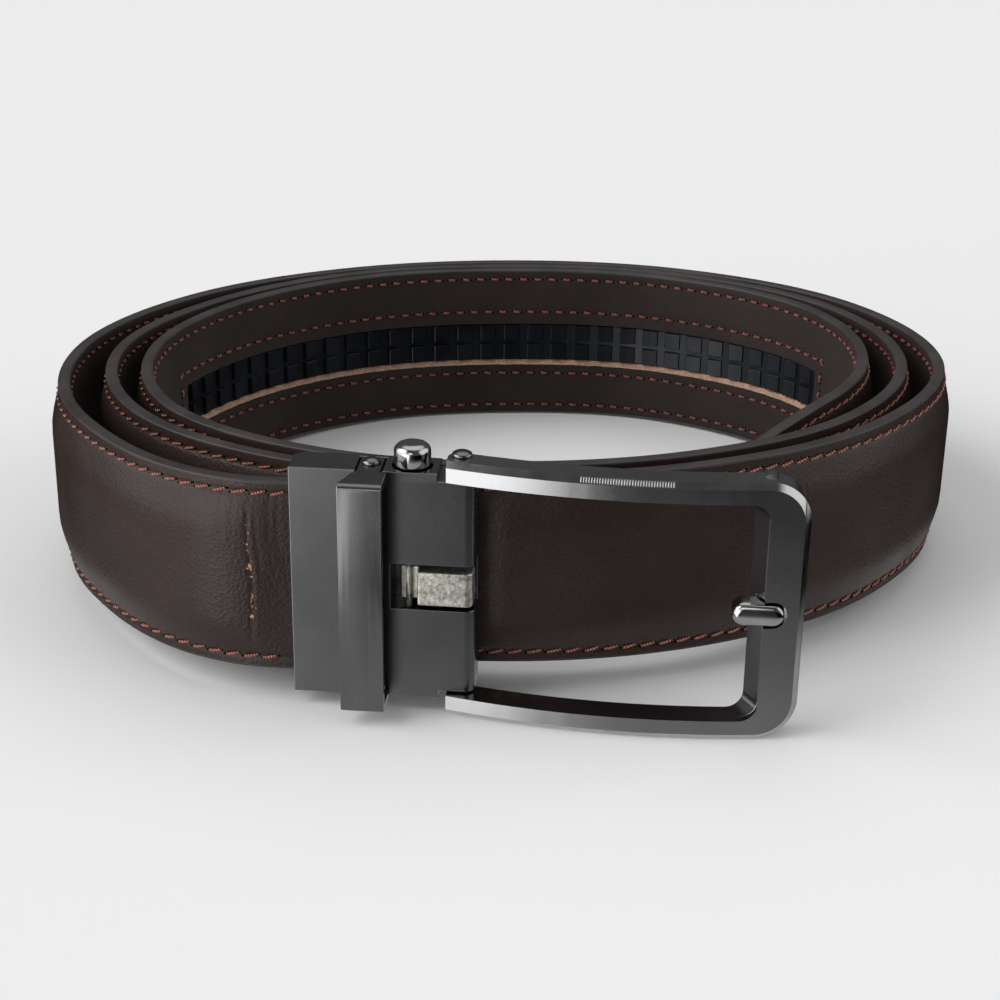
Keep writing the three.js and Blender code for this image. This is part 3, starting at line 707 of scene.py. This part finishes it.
def tip_runs(steps):
    turns = [i / steps * pi / 2 for i in range(1, steps + 1)]
    return [STRAP_LENGTH - TIP_LENGTH * (1 - sin(turn)) for turn in turns]


def strap_runs(fine_until):
    """Stations along the strap: close together near the clamp's crease and along the rounded tip."""
    runs = run_stations(0, CLAMP_GRIP, 3) + run_stations(CLAMP_GRIP, fine_until, 0.35)[1:]
    return runs + run_stations(fine_until, TIP_START, RUN_STEP)[1:] + tip_runs(30)


EDGE_ROWS = [0.12, 0.3, 0.65, 1.0, 1.3, 1.55, 1.8, 2.05, 2.3, 2.55, 2.8, 3.2, 4.0]


def width_rows(half, rows, inner_steps):
    """Heights up the strap's width: fixed distances from both edges, then even steps between."""
    centre = STRAP_WIDTH / 2
    low = [centre - half + d for d in rows]
    high = [centre + half - d for d in reversed(rows)]
    if low[-1] > high[0]:
        squeeze = (half - 0.05) / rows[-1]
        low = [centre - half + d * squeeze for d in rows]
        high = [centre + half - d * squeeze for d in reversed(rows)]
    between = [low[-1] + (high[0] - low[-1]) * i / inner_steps for i in range(1, inner_steps)]
    return low + between + high


def face_leather():
    runs = strap_runs(CLAMP_GRIP + 26)
    points, scuffs = [], []
    for run in runs:
        half = half_width_at(run) if run < STRAP_LENGTH else TIP_FLAT / 2
        ups = width_rows(half, EDGE_ROWS, 14)
        section = [(-crown_height(run, up), up) for up in ups]
        section += [(FACE_EDGE, ups[-1]), (FACE_EDGE, ups[0])]
        for inward, up in section:
            points.append(on_strap(run, up, inward))
            scuffs.append(scuff(run, up))
    faces = loft(len(runs), len(points) // len(runs))
    mesh = make_mesh("leather_face", points, faces, [LEATHER])
    clean(mesh, 50)
    worn = mesh.attributes.new("scuff", "FLOAT", "POINT")
    worn.data.foreach_set("value", scuffs)
    add_piece("leather_face", mesh, "belt", "strap_face")


def scuff(run, up):
    """Where the crease has rubbed through to lighter fibres: 0 to 1."""
    near = exp(-((run - crease_line(up)) / 0.42) ** 2)
    upper = smoothstep(17, 20, up) * (1 - smoothstep(25, 27, up))
    lower = smoothstep(7, 10, up) * (1 - smoothstep(14, 16, up))
    faint = 0.45 * smoothstep(4, 6, up) * (1 - smoothstep(27, 31, up))
    return near * max(upper, lower, faint)


WINDOW_START = STRAP_LENGTH - TRACK_FROM_TIP - WINDOW_LENGTH
WINDOW_END = STRAP_LENGTH - TRACK_FROM_TIP
WINDOW_LOW = (STRAP_WIDTH - WINDOW_HEIGHT) / 2
WINDOW_HIGH = WINDOW_LOW + WINDOW_HEIGHT


def lining_height(run, up):
    """The lining's inner surface, beyond STRAP_EDGE: pressed in along its stitches."""
    half = half_width_at(run)
    edge = half - abs(up - STRAP_WIDTH / 2)
    dent = DENT_DEPTH * exp(-((edge - STITCH_INSET) / 0.5) ** 2)
    if WINDOW_START - 4 < run < WINDOW_END + 4:
        for line in (WINDOW_LOW - SLOT_STITCH_OUT, WINDOW_HIGH + SLOT_STITCH_OUT):
            dent += DENT_DEPTH * exp(-((up - line) / 0.5) ** 2)
    return -dent


def lining():
    """A sheet with its window left open: both surfaces and the walls between them."""
    body = run_stations(0, WINDOW_START, 2.5)
    window = run_stations(WINDOW_START, WINDOW_END, 2.0)
    after = run_stations(WINDOW_END, TIP_START, 2.5)
    runs = body + window[1:] + after[1:] + tip_runs(24)
    centre = STRAP_WIDTH / 2
    slot_rows = [SLOT_STITCH_OUT + d for d in (1.1, 0.5, 0, -0.5, -1.1)] + [0.9, 0.3, 0]
    lower = [0.12, 0.6, 1.15, 1.65, 2.05, 2.45, 2.95, 4.5, 6.5, 7.8]
    levels = sorted(set(lower + [WINDOW_LOW - d for d in slot_rows]))
    levels += [STRAP_WIDTH - v for v in reversed(levels)]
    low_column = levels.index(WINDOW_LOW)
    rows = len(levels)
    points = []
    for inner in (True, False):
        for run in runs:
            half = half_width_at(run)
            scale = half / centre
            for level in levels:
                edge = centre - abs(level - centre)
                near = min(edge, STITCH_INSET + 0.9)
                kept = near + (edge - near) * max(0.0, (half - near) / (centre - near))
                up = centre + copysign(half - min(kept, half), level - centre) if scale < 1 else level
                inward = STRAP_EDGE + lining_height(run, up) if inner else LINING_OUTER
                if inner and edge < 0.5:
                    inward -= 0.15
                if inner and WINDOW_START <= run <= WINDOW_END:
                    if abs(level - centre) < WINDOW_HEIGHT / 2 + 0.05:
                        inward -= 0.08
                    skived = WINDOW_LOW - LEDGE - 0.15
                    if skived < level <= WINDOW_LOW:
                        wavy = 0.07 * sin(run * 1.7) * sin(run * 0.43)
                        up = skived + (level - skived) * 0.1 + wavy
                points.append(on_strap(run, up, inward))
    sheet = len(runs) * rows
    start, end = len(body) - 1, len(body) + len(window) - 2
    faces, slots, edges = [], [], {}
    for i in range(len(runs) - 1):
        for k in range(rows - 1):
            if start <= i < end and low_column <= k < rows - 1 - low_column:
                continue
            a = i * rows + k
            quad = (a, a + 1, a + 1 + rows, a + rows)
            faces += [quad, tuple(v + sheet for v in reversed(quad))]
            slots += [0, 0]
            for p, q in zip(quad, quad[1:] + quad[:1]):
                key = (min(p, q), max(p, q))
                edges[key] = None if key in edges else (p, q)
    for pair in edges.values():
        if pair:
            p, q = pair
            i, k = p // rows, p % rows
            in_window = start <= i <= end and low_column <= k <= rows - 1 - low_column
            faces.append((q, p, p + sheet, q + sheet))
            slots.append(1 if in_window else 0)
    mesh = make_mesh("leather_lining", points, faces, [LINING, CUT_EDGE], slots)
    clean(mesh, 40)
    add_piece("leather_lining", mesh, "belt", "strap_lining")


def outline(inset, step):
    """The strap's outline in (run, up), moved in from its edge, from the clamp round the tip and back."""
    centre = STRAP_WIDTH / 2
    raw = [(run, 0.0) for run in run_stations(0, TIP_START, 4)]
    turns = 60
    for i in range(1, turns + 1):
        turn = i / turns * pi / 2
        half = TIP_FLAT / 2 + (centre - TIP_FLAT / 2) * cos(turn)
        raw.append((STRAP_LENGTH - TIP_LENGTH * (1 - sin(turn)), centre - half))
    raw += [(run, STRAP_WIDTH - up) for run, up in reversed(raw)]
    moved = []
    for i, (run, up) in enumerate(raw):
        (ax, ay), (bx, by) = raw[max(i - 1, 0)], raw[min(i + 1, len(raw) - 1)]
        length = hypot(bx - ax, by - ay) or 1
        nx, ny = -(by - ay) / length, (bx - ax) / length
        moved.append((run + nx * inset, up + ny * inset, -nx, -ny))
    out, gone, want = [], 0.0, 0.0
    for a, b in zip(moved, moved[1:]):
        span = hypot(b[0] - a[0], b[1] - a[1])
        while span and want <= gone + span:
            t = (want - gone) / span
            out.append(tuple(a[k] + (b[k] - a[k]) * t for k in range(4)))
            want += step
        gone += span
    return out


def painted_edge():
    """The rounded, painted rim over the cut edges of both leathers, all the way round the strap."""
    spine = outline(0.0, 2.0)
    middle, reach, proud, sunk = STRAP_EDGE / 2, STRAP_EDGE / 2 + 0.03, 0.42, 0.2
    section = []
    steps = 18
    for i in range(steps + 1):
        turn = pi * i / steps
        across = -copysign(abs(cos(turn)) ** 0.7, cos(turn)) * reach
        seam = 0.07 * exp(-((turn - 1.3) / 0.16) ** 2)
        section.append((middle + across, proud * sin(turn) ** 0.6 - sunk - seam))
    section += [(middle + reach, -0.35), (middle - reach, -0.35)]
    points = []
    for run, up, out_run, out_up in spine:
        for inward, out in section:
            r = min(run + out * out_run, STRAP_LENGTH + 0.6)
            points.append(on_strap(r, up + out * out_up, inward))
    mesh = make_mesh("painted_edge", points, loft(len(spine), len(section)), [EDGE_PAINT])
    clean(mesh, 60)
    add_piece("painted_edge", mesh, "belt")


def stitch(points, faces, slots, at, along, normal, length, radius, slant):
    """One stitch that dives into the leather at both ends, and near-black mounds at both ends that paint the
    shade in the stitch holes.
    """
    side = normal.cross(along).normalized()
    direction = (along * cos(slant) + side * sin(slant)).normalized()
    across = normal.cross(direction).normalized()
    profile = [(-0.5, 0.35, -0.5), (-0.42, 0.8, 0.1), (-0.2, 1.0, 0.55), (0.08, 1.0, 0.62),
               (0.32, 0.92, 0.4), (0.44, 0.7, 0.0), (0.5, 0.35, -0.5)]
    sides = 8
    first = len(points)
    for share, thick, lift in profile:
        centre = at + direction * (length * share) + normal * (radius * lift)
        for k in range(sides):
            turn = 2 * pi * k / sides
            points.append(centre + (across * cos(turn) + normal * sin(turn)) * (radius * thick))
    made = loft(len(profile), sides, first)
    faces += made
    slots += [0] * len(made)
    # Near-black mounds at both ends of the stitch: painted shade in its holes.
    for end in (-0.52, 0.52):
        shade_mound = len(points)
        centre = at + direction * (length * end)
        for k in range(sides):
            turn = 2 * pi * k / sides
            rim = along * cos(turn) * 1.5 + side * sin(turn)
            points.append(centre + rim * radius * 1.5 - normal * (radius * 0.6))
        points.append(centre + normal * (radius * 0.75))
        faces += [(shade_mound + k, shade_mound + (k + 1) % sides, shade_mound + sides) for k in range(sides)]
        faces.append(tuple(range(shade_mound, shade_mound + sides)))
        slots += [1] * (sides + 1)


def stitch_row(name, spots, surface, outward, slot, slant, length, radius, thread):
    """Stitches at (run, up) spots; surface(run, up) gives how far inward the leather's surface is there."""
    points, faces, slots = [], [], []
    for i, (run, up) in enumerate(spots):
        before, after = spots[max(i - 1, 0)], spots[min(i + 1, len(spots) - 1)]
        at = on_strap(run, up, surface(run, up))
        along = (on_strap(*after, surface(*after)) - on_strap(*before, surface(*before))).normalized()
        _, _, ox, oy, _ = place_at(run)
        normal = Vector((ox, oy, 0)) * outward
        normal = (normal - along * normal.dot(along)).normalized()
        wander = random.uniform(-0.05, 0.05)
        stitch(points, faces, slots, at, along, normal, length * MM, radius * MM, slant + wander)
    mesh = make_mesh(name, points, faces, [thread, HOLE_SHADE], slots)
    clean(mesh)
    add_piece(name, mesh, "belt")


def stitching():
    random.seed(7)
    rim = [(run, up) for run, up, _, _ in outline(STITCH_INSET, STITCH_PITCH)]
    seen = [spot for spot in rim if spot[0] > CLAMP_GRIP + 0.7]

    def outside(run, up):
        return -crown_height(run, up) - 0.02

    def inside(run, up):
        return STRAP_EDGE + lining_height(run, up) + 0.02

    outer = ("outer_leather", 0.24, STITCH_LENGTH, STITCH_RADIUS, THREAD)
    # The lining's stitches use the darker copy of the thread: painted shade.
    inner = ("lining_leather", -0.1, INNER_STITCH_LENGTH, INNER_STITCH_RADIUS, SHADED_THREAD_COPY)
    stitch_row("stitches_outer", seen, outside, 1, *outer)
    stitch_row("stitches_inner", seen, inside, -1, *inner)
    low, high = WINDOW_LOW - SLOT_STITCH_OUT, WINDOW_HIGH + SLOT_STITCH_OUT
    start, end = WINDOW_START - SLOT_STITCH_OUT, WINDOW_END + SLOT_STITCH_OUT
    along, across = run_stations(start, end, STITCH_PITCH), run_stations(low, high, STITCH_PITCH)
    around_slot = [(run, low) for run in along] + [(end, up) for up in across[1:]]
    around_slot += [(run, high) for run in reversed(along[:-1])]
    around_slot += [(start, up) for up in reversed(across[1:-1])]
    stitch_row("stitches_window", around_slot, inside, -1, *inner)


def track():
    """The plastic strip with its two rows of ratchet teeth, side by side."""
    start, end = WINDOW_START + TRACK_GAP, WINDOW_END - TRACK_GAP
    low, high = WINDOW_LOW + TRACK_GAP, WINDOW_HIGH - TRACK_GAP
    centre = STRAP_WIDTH / 2
    points, faces = [], []

    def bar(runs, heights, ups, foot):
        """A solid along the strap: its top at the given heights, between two levels of its width."""
        first = len(points)
        rounding = 0.12
        for run, height in zip(runs, heights):
            top = LINING_OUTER + height
            for inward, up in ((foot, ups[0]), (top - rounding, ups[0]), (top, ups[0] + rounding),
                               (top, ups[1] - rounding), (top - rounding, ups[1]), (foot, ups[1])):
                points.append(on_strap(run, up, inward))
        faces.extend(loft(len(runs), 6, first))

    strip = run_stations(start, end, 2.0)
    bar(strip, [TRACK_BASE] * len(strip), (low, high), LINING_OUTER)
    foot = LINING_OUTER + TRACK_BASE - 0.1
    teeth = int((end - start) / TOOTH_PITCH)
    first = (start + end - TOOTH_PITCH * (teeth - 1 + TOOTH_LAND)) / 2
    tall, short = TRACK_BASE + TOOTH_RISE, TRACK_BASE + TOOTH_RAMP * TOOTH_RISE
    land = TOOTH_LAND * TOOTH_PITCH
    for i in range(teeth):
        at = first + i * TOOTH_PITCH
        runs = (at, at + 0.06, at + 0.22, at + land * 0.5, at + land - 0.15, at + land)
        heights = (TRACK_BASE, tall - 0.1, tall, (tall + short) / 2, short, TRACK_BASE)
        for ups in ((low + 0.05, centre - TOOTH_GROOVE), (centre + TOOTH_GROOVE, high - 0.05)):
            bar(runs, heights, ups, foot)
    mesh = make_mesh("tooth_track", points, faces, [TRACK], smooth=False)
    clean(mesh)
    add_piece("tooth_track", mesh, "belt", "ratchet_track")


# Buckle pieces

def housing():
    rounding, back_bevel = 1.8, 1.4
    plan = [(0, 0)] + arc(HOUSING_LENGTH - rounding, rounding, rounding, -90, 0, 10)
    plan += [(HOUSING_LENGTH, HOUSING_DEPTH), (back_bevel, HOUSING_DEPTH), (0, HOUSING_DEPTH - back_bevel)]
    body = prism(plan, HOUSING_BOTTOM, HOUSING_TOP)
    back = CLAMP_WALL + 2 * SLIP + STRAP_EDGE
    half = STRAP_WIDTH / 2 + SLIP
    notch = (TONGUE_START - SLIP, TONGUE_START + TONGUE_WIDTH + SLIP)
    well = arc(BUTTON_AT, HOUSING_DEPTH / 2, BUTTON_RADIUS + SLIP, 0, 352.5, 47)
    bore = arc(HINGE_AT, HINGE_DEPTH, HOUSING_BORE, 0, 345, 23)
    end, above, below = HOUSING_LENGTH + 1, HOUSING_TOP + 1, HOUSING_BOTTOM - 1
    cut(
        body,
        block(-1, CLAMP_GRIP, CLAMP_WALL, back, MID - half, MID + half),
        block(SHOULDER_START, end, -1, HOUSING_DEPTH + 1, SHOULDER_TOP, above),
        block(SHOULDER_START, end, -1, HOUSING_DEPTH + 1, below, SHOULDER_BOTTOM),
        block(SLOT_START, end, -1, SLOT_DEPTH, MID - SLOT_HEIGHT / 2, MID + SLOT_HEIGHT / 2),
        prism(well, HOUSING_TOP - BUTTON_SUNK - BUTTON_TRAVEL - SLIP, above),
        block(*notch, -1, TONGUE_DEPTH + SLIP, HOUSING_TOP - TONGUE_SEAT, above),
        block(*notch, -1, TONGUE_DEPTH + SLIP, below, HOUSING_BOTTOM + TONGUE_SEAT),
        prism(bore, SHOULDER_TOP - 2.5, SHOULDER_TOP + 1),
        prism(bore, SHOULDER_BOTTOM - 1, SHOULDER_BOTTOM + 2.5),
    )
    soften(from_scratch("housing", body, "belt", [SATIN], "buckle_housing"), 0.16, 3, 40)


def loop():
    front, back = -(LOOP_GAP + LOOP_THICK), TONGUE_DEPTH
    bend, inner = LOOP_ROUND, front + LOOP_THICK
    low, high = HOUSING_BOTTOM + LOOP_THICK, HOUSING_TOP - LOOP_THICK
    side = [(back, HOUSING_TOP)] + arc(front + bend, HOUSING_TOP - bend, bend, 90, 180, 8)
    side += arc(front + bend, HOUSING_BOTTOM + bend, bend, 180, 270, 8) + [(back, HOUSING_BOTTOM)]
    side += [(back, low), (inner, low), (inner, high), (back, high)]
    strip = prism(side, LOOP_START - 1, LOOP_START + LOOP_WIDTH + 1, "x")
    right, level = LOOP_START + LOOP_WIDTH, -SLIP
    tongue = TONGUE_START + TONGUE_WIDTH
    plan = [(LOOP_START + LOOP_WIDTH * i / 12, front + LOOP_CROWN * (i / 6 - 1) ** 2) for i in range(13)]
    plan += [(right, level), (tongue, level), (tongue, back + 1), (TONGUE_START, back + 1),
             (TONGUE_START, level), (LOOP_START + LOOP_TAPER, level), (LOOP_START, inner)]
    combine(strip, prism(plan, HOUSING_BOTTOM - 1, HOUSING_TOP + 1), "INTERSECT")
    soften(from_scratch("loop", strip, "belt", [SATIN], "keeper_loop"), 0.45, 5, 40)


def dome(radius, z, rise, steps=8):
    rings = []
    for i in range(steps + 1):
        turn = i / steps * pi / 2
        rings.append((radius * cos(turn) if i < steps else 0.0, z + rise * sin(turn)))
    return rings


def loop_rivets():
    x, y = TONGUE_START + TONGUE_WIDTH / 2, HOUSING_DEPTH / 2
    head = [(LOOP_RIVET_RADIUS, 0)] + dome(LOOP_RIVET_RADIUS, 0.12, LOOP_RIVET_RISE - 0.12)
    for end, up in (("top", 1), ("bottom", -1)):
        level = MID + up * (MID - HOUSING_INSET)
        profile = [(0, level)] + [(r, level + up * (z + 0.05)) for r, z in head]
        turned_piece(f"rivet_loop_{end}", profile, x, y, "belt", RIVET, f"loop_rivet_{end}")


def button():
    top, foot = HOUSING_TOP + BUTTON_RISE, HOUSING_TOP - BUTTON_SUNK
    rise = 1.5
    profile = [(0, foot), (BUTTON_RADIUS, foot), (BUTTON_RADIUS, top - rise)]
    for i in range(1, 13):
        turn = i / 12 * pi / 2
        radius = BUTTON_RADIUS * cos(turn) ** 0.5 if i < 12 else 0.0
        profile.append((radius, top - rise + rise * sin(turn)))
    turned_piece("button", profile, BUTTON_AT, HOUSING_DEPTH / 2, "button", POLISHED,
                 "release_button", 56)


def pawl_block():
    right, bevel = HOUSING_LENGTH - SLIP, 1.3
    bed = PIN_DEPTH + PIN_RADIUS + SLIP
    tail = PIN_AT - PAWL_TAIL
    plan = [(PAWL_START, -PAWL_PROUD)] + arc(right - bevel, -PAWL_PROUD + bevel, bevel, -90, 0, 6)
    plan += [(right, PAWL_BACK), (tail, PAWL_BACK), (tail, bed), (PAWL_START, bed)]
    body = prism(plan, MID - PAWL_HEIGHT / 2, MID + PAWL_HEIGHT / 2)
    soften(from_scratch("pawl_block", body, "pawl", [TUMBLED], "pawl"), 0.3, 3, 40)


def pin():
    half = SLOT_HEIGHT / 2 - SEAT
    profile = [(0, MID - half), (PIN_RADIUS, MID - half), (PIN_RADIUS, MID + half), (0, MID + half)]
    turned_piece("pin", profile, PIN_AT, PIN_DEPTH, "belt", TUMBLED, "pawl_pin", 20)


def bow_at(x):
    return BOW_PROUD - (x - BOW_APEX) ** 2 / (2 * BOW_RADIUS)


def frame_half(x, inset):
    """Half the frame's height at x, on its outline moved inward: the right corners are round."""
    straight = FRAME_END - FRAME_CORNER
    if x <= straight:
        return MID - inset
    radius = FRAME_CORNER - inset
    return MID - FRAME_CORNER + sqrt(max(0.0, radius ** 2 - (x - straight) ** 2))


def frame_slab():
    """The bowed slab, chamfered along its front edges and round its right end."""
    straight = FRAME_END - FRAME_CORNER
    stations = [(x, 0.0) for x in run_stations(FRAME_START, straight, 1.0)]
    for i in range(1, 19):
        stations.append((straight + (FRAME_CORNER - FRAME_CHAMFER) * sin(pi / 2 * i / 18), 0.0))
    for share in (0.2, 0.4, 0.6, 0.8, 0.97):
        stations.append((FRAME_END - FRAME_CHAMFER * (1 - share), FRAME_CHAMFER * share))
    points = []
    for x, gone in stations:
        front = -bow_at(x)
        back = front + FRAME_DEPTH
        lip, edge = frame_half(x, FRAME_CHAMFER - gone), frame_half(x, 0)
        points += [(x, front + FRAME_CHAMFER, MID + edge), (x, front + gone, MID + lip),
                   (x, front + gone, MID - lip), (x, front + FRAME_CHAMFER, MID - edge),
                   (x, back, MID - edge), (x, back, MID + edge)]
    return scratch("slab", points, loft(len(stations), 6))


def frame_body():
    slab = frame_slab()
    reach = BOW_PROUD + FRAME_DEPTH
    knuckle_x = FRAME_START + KNUCKLE_RADIUS
    knuckle_y = FRAME_DEPTH - bow_at(knuckle_x) - KNUCKLE_RADIUS
    knuckle = [(FRAME_START - 1, knuckle_y)] + arc(knuckle_x, knuckle_y, KNUCKLE_RADIUS, 180, 90, 14)
    knuckle += [(knuckle_x, reach), (FRAME_START - 1, reach)]
    cut(slab, prism(knuckle, -1, FRAME_HEIGHT + 1))
    nub_back = FRAME_DEPTH - bow_at(NUB_AT)
    nub = arc(NUB_AT, FRAME_HEIGHT + NUB_RISE - NUB_RADIUS, NUB_RADIUS, 0, 350, 35)
    combine(slab, prism(nub, nub_back - NUB_LENGTH, nub_back, "y"), "UNION")

    inner = FRAME_END - BAR_WIDTH
    land = -bow_at(inner) + BAR_LAND
    left = FRAME_START - 2 * INNER_CORNER
    low, high, r = RAIL_HEIGHT, FRAME_HEIGHT - RAIL_HEIGHT, INNER_CORNER

    def window(right):
        corners = arc(right - r, low + r, r, -90, 0, 8) + arc(right - r, high - r, r, 0, 90, 8)
        return [(left, low), *corners, (left, high)]

    front_face, back_face = window(inner), window(inner - INNER_BEVEL)
    count = len(front_face)
    slope = [(x, land, z) for x, z in front_face] + [(x, land + FRAME_DEPTH, z) for x, z in back_face]
    sides = [(i, (i + 1) % count, count + (i + 1) % count, count + i) for i in range(count)]
    half = PRONG_HEIGHT / 2 + PRONG_GAP
    notch = [(PRONG_START - 2, MID - half)] + arc(PRONG_END - PRONG_HEIGHT / 2, MID, half, -90, 90, 16)
    notch += [(PRONG_START - 2, MID + half)]
    bore = arc(HINGE_AT, HINGE_DEPTH, FRAME_BORE, 0, 345, 23)
    cut(
        slab,
        prism(front_face, -reach, land + 0.1, "y"),
        scratch("slope", slope, [tuple(range(count)), tuple(range(count, 2 * count)), *sides]),
        block(FRAME_START - 1, BOW_APEX, 0, reach, low, high),
        prism(notch, -reach, -bow_at(PRONG_END) + NOTCH_FLOOR, "y"),
        prism(bore, -1, low + 1),
        prism(bore, high - 1, FRAME_HEIGHT + 1),
    )
    piece = from_scratch("frame_body", slab, "frame", [FRAME_SATIN, POLISHED], "buckle_frame")
    for face in piece.data.polygons:
        if -0.87 < face.normal.y < -0.5:
            face.material_index = 1
    soften(piece, 0.25, 4, 30)


def flutes():
    """Fine upright ribs on both chamfers of the bowed frame."""
    points, faces = [], []
    for start, end, up, rise in ((48.6, 64.0, 1, 0.1), (54.0, 63.0, -1, 0.05)):
        count = int(round((end - start) / FLUTE_PITCH))
        pitch = (end - start) / count
        for i in range(count):
            x = start + pitch * (i + 0.5)
            front = -bow_at(x)
            edge = (front + FRAME_CHAMFER, MID + up * FRAME_HEIGHT / 2)
            lip = (front, MID + up * (FRAME_HEIGHT / 2 - FRAME_CHAMFER))
            normal = (-sqrt(0.5), up * sqrt(0.5))
            first = len(points)
            for share in (0.08, 0.2, 0.8, 0.92):
                y = edge[0] + (lip[0] - edge[0]) * share
                z = edge[1] + (lip[1] - edge[1]) * share
                height = rise if 0.15 < share < 0.85 else -0.02
                for dx, h in ((-0.36, -0.05), (-0.16, height), (0.16, height), (0.36, -0.05)):
                    points.append((x + dx * pitch, y + normal[0] * h, z + normal[1] * h))
            for a in range(3):
                for b in range(3):
                    c = first + a * 4 + b
                    faces.append((c, c + 1, c + 5, c + 4))
            faces.append(tuple(first + v for v in (0, 1, 2, 3, 7, 11, 15, 14, 13, 12, 8, 4)))
    mesh = make_mesh("frame_flutes", to_world(points), faces, [POLISHED])
    clean(mesh)
    add_piece("frame_flutes", mesh, "frame")


def frame_rivets():
    foot, pin = -(RAIL_HEIGHT + SLIP + HINGE_PIN_REACH), HINGE_PIN_RADIUS
    head = [(FRAME_RIVET_RADIUS, SEAT)] + dome(FRAME_RIVET_RADIUS, 0.25, FRAME_RIVET_RISE - 0.15)
    top = [(0, foot), (pin, foot), (pin, 0.0)] + head
    bottom = [(0, foot), (pin, foot), (pin, -0.25), (1.0, -0.12), (0, -0.1)]
    for end, level, up, profile in (("top", FRAME_HEIGHT, 1, top), ("bottom", 0, -1, bottom)):
        turned_piece(f"rivet_frame_{end}", [(r, level + up * z) for r, z in profile], HINGE_AT, HINGE_DEPTH,
                     "belt", RIVET, f"frame_rivet_{end}")


def prong_piece():
    radius = PRONG_HEIGHT / 2
    middle = (PRONG_START + PRONG_END) / 2
    front = -bow_at(middle) - PRONG_PROUD
    back = -bow_at(PRONG_END) + NOTCH_FLOOR - SLIP
    rings = [(0.0, back), (0.0, front + 1.2), (0.06, front + 0.8), (0.2, front + 0.45), (0.45, front + 0.2),
             (0.8, front + 0.06), (1.2, front)]
    points = []
    for inset, y in rings:
        r = radius - inset
        ring = arc(PRONG_END - radius, MID, r, -90, 90, 12) + arc(PRONG_START + radius, MID, r, 90, 270, 12)
        points += [(x, y, z) for x, z in ring]
    faces = loft(len(rings), len(points) // len(rings))
    mesh = make_mesh("prong_piece", to_world(points), faces, [POLISHED])
    clean(mesh, 60)
    add_piece("prong_piece", mesh, "frame", "prong")


for make_piece in (face_leather, lining, painted_edge, stitching, track, housing, loop, loop_rivets,
                   button, pawl_block, pin, frame_body, flutes, frame_rivets, prong_piece):
    make_piece()


# Camera, floor and light

def camera():
    data = bpy.data.cameras.new("camera")
    data.lens = 72
    data.sensor_width = 36
    data.clip_start = 0.01
    data.clip_end = 20
    obj = link_object("camera", data)
    pitch, roll = 0.410263, 0.013944
    place = Matrix.Translation(Vector((-1.569 + SHIFT[0], -381.4986 + SHIFT[1], 171.8142)) * MM)
    obj.matrix_world = place @ Matrix.Rotation(pi / 2 - pitch, 4, "X") @ Matrix.Rotation(roll, 4, "Z")
    bpy.context.scene.camera = obj


def floor():
    s = Shader("pale_floor", Specular_IOR_Level=0.1, Roughness=0.9)
    s.use(Base_Color=s.shades(s.noise(3), (0.84, 0.84, 0.84), (0.85, 0.85, 0.85)))
    half = 30.0
    points = [(-half, -half, 0), (half, -half, 0), (half, half, 0), (-half, half, 0)]
    obj = link_object("floor", make_mesh("floor", points, [(0, 1, 2, 3)], [s.material], smooth=False))
    obj.visible_glossy = False


SOFTBOXES = [
    # towards, half angle where it fades out and where it is full, radiance
    ((0.0, 0.0, 1.0), 93, 84, 0.11),           # the room
    ((-0.75, -0.15, 0.64), 27, 18, 2.3),       # key, high at the left
    ((0.05, 0.35, 0.94), 36, 22, 1.05),        # overhead at the back
    ((-0.93, -0.2, 0.3), 46, 24, 1.9),         # left wall
    ((0.92, -0.05, 0.38), 42, 22, 1.3),        # right wall
    ((-0.61, -0.78, -0.14), 27, 14, 3.6),      # window at the front left
    ((-0.22, -0.88, 0.42), 18, 8, 1.8),        # small window at the front
    ((-0.49, -0.85, -0.18), 45, 10, 0.08),     # faint fill round the front left window
    ((0.0, 0.0, -1.0), 65.5, 58.5, 0.58),      # the floor's glow
]


def studio():
    """Soft boxes painted on the world, so that they light the floor evenly."""
    world = bpy.data.worlds.new("studio")
    bpy.context.scene.world = world
    world.use_nodes = True
    nodes = Nodes(world.node_tree)
    direction = nodes.node("ShaderNodeTexCoord").outputs["Generated"]
    total = 0.0
    for towards, fade, full, radiance in SOFTBOXES:
        inputs = {0: direction, 1: Vector(towards).normalized()}
        facing = nodes.node("ShaderNodeVectorMath", inputs, operation="DOT_PRODUCT").outputs["Value"]
        edges = cos(radians(fade)), cos(radians(full))
        box = nodes.spread(facing, 0, radiance, *edges, interpolation_type="SMOOTHSTEP")
        total = nodes.math("ADD", box, total)
    background = world.node_tree.nodes["Background"]
    nodes.put(background.inputs["Color"], (1, 1, 1))
    nodes.put(background.inputs["Strength"], total)
    bpy.context.scene.view_settings.view_transform = "Standard"


camera()
floor()
studio()
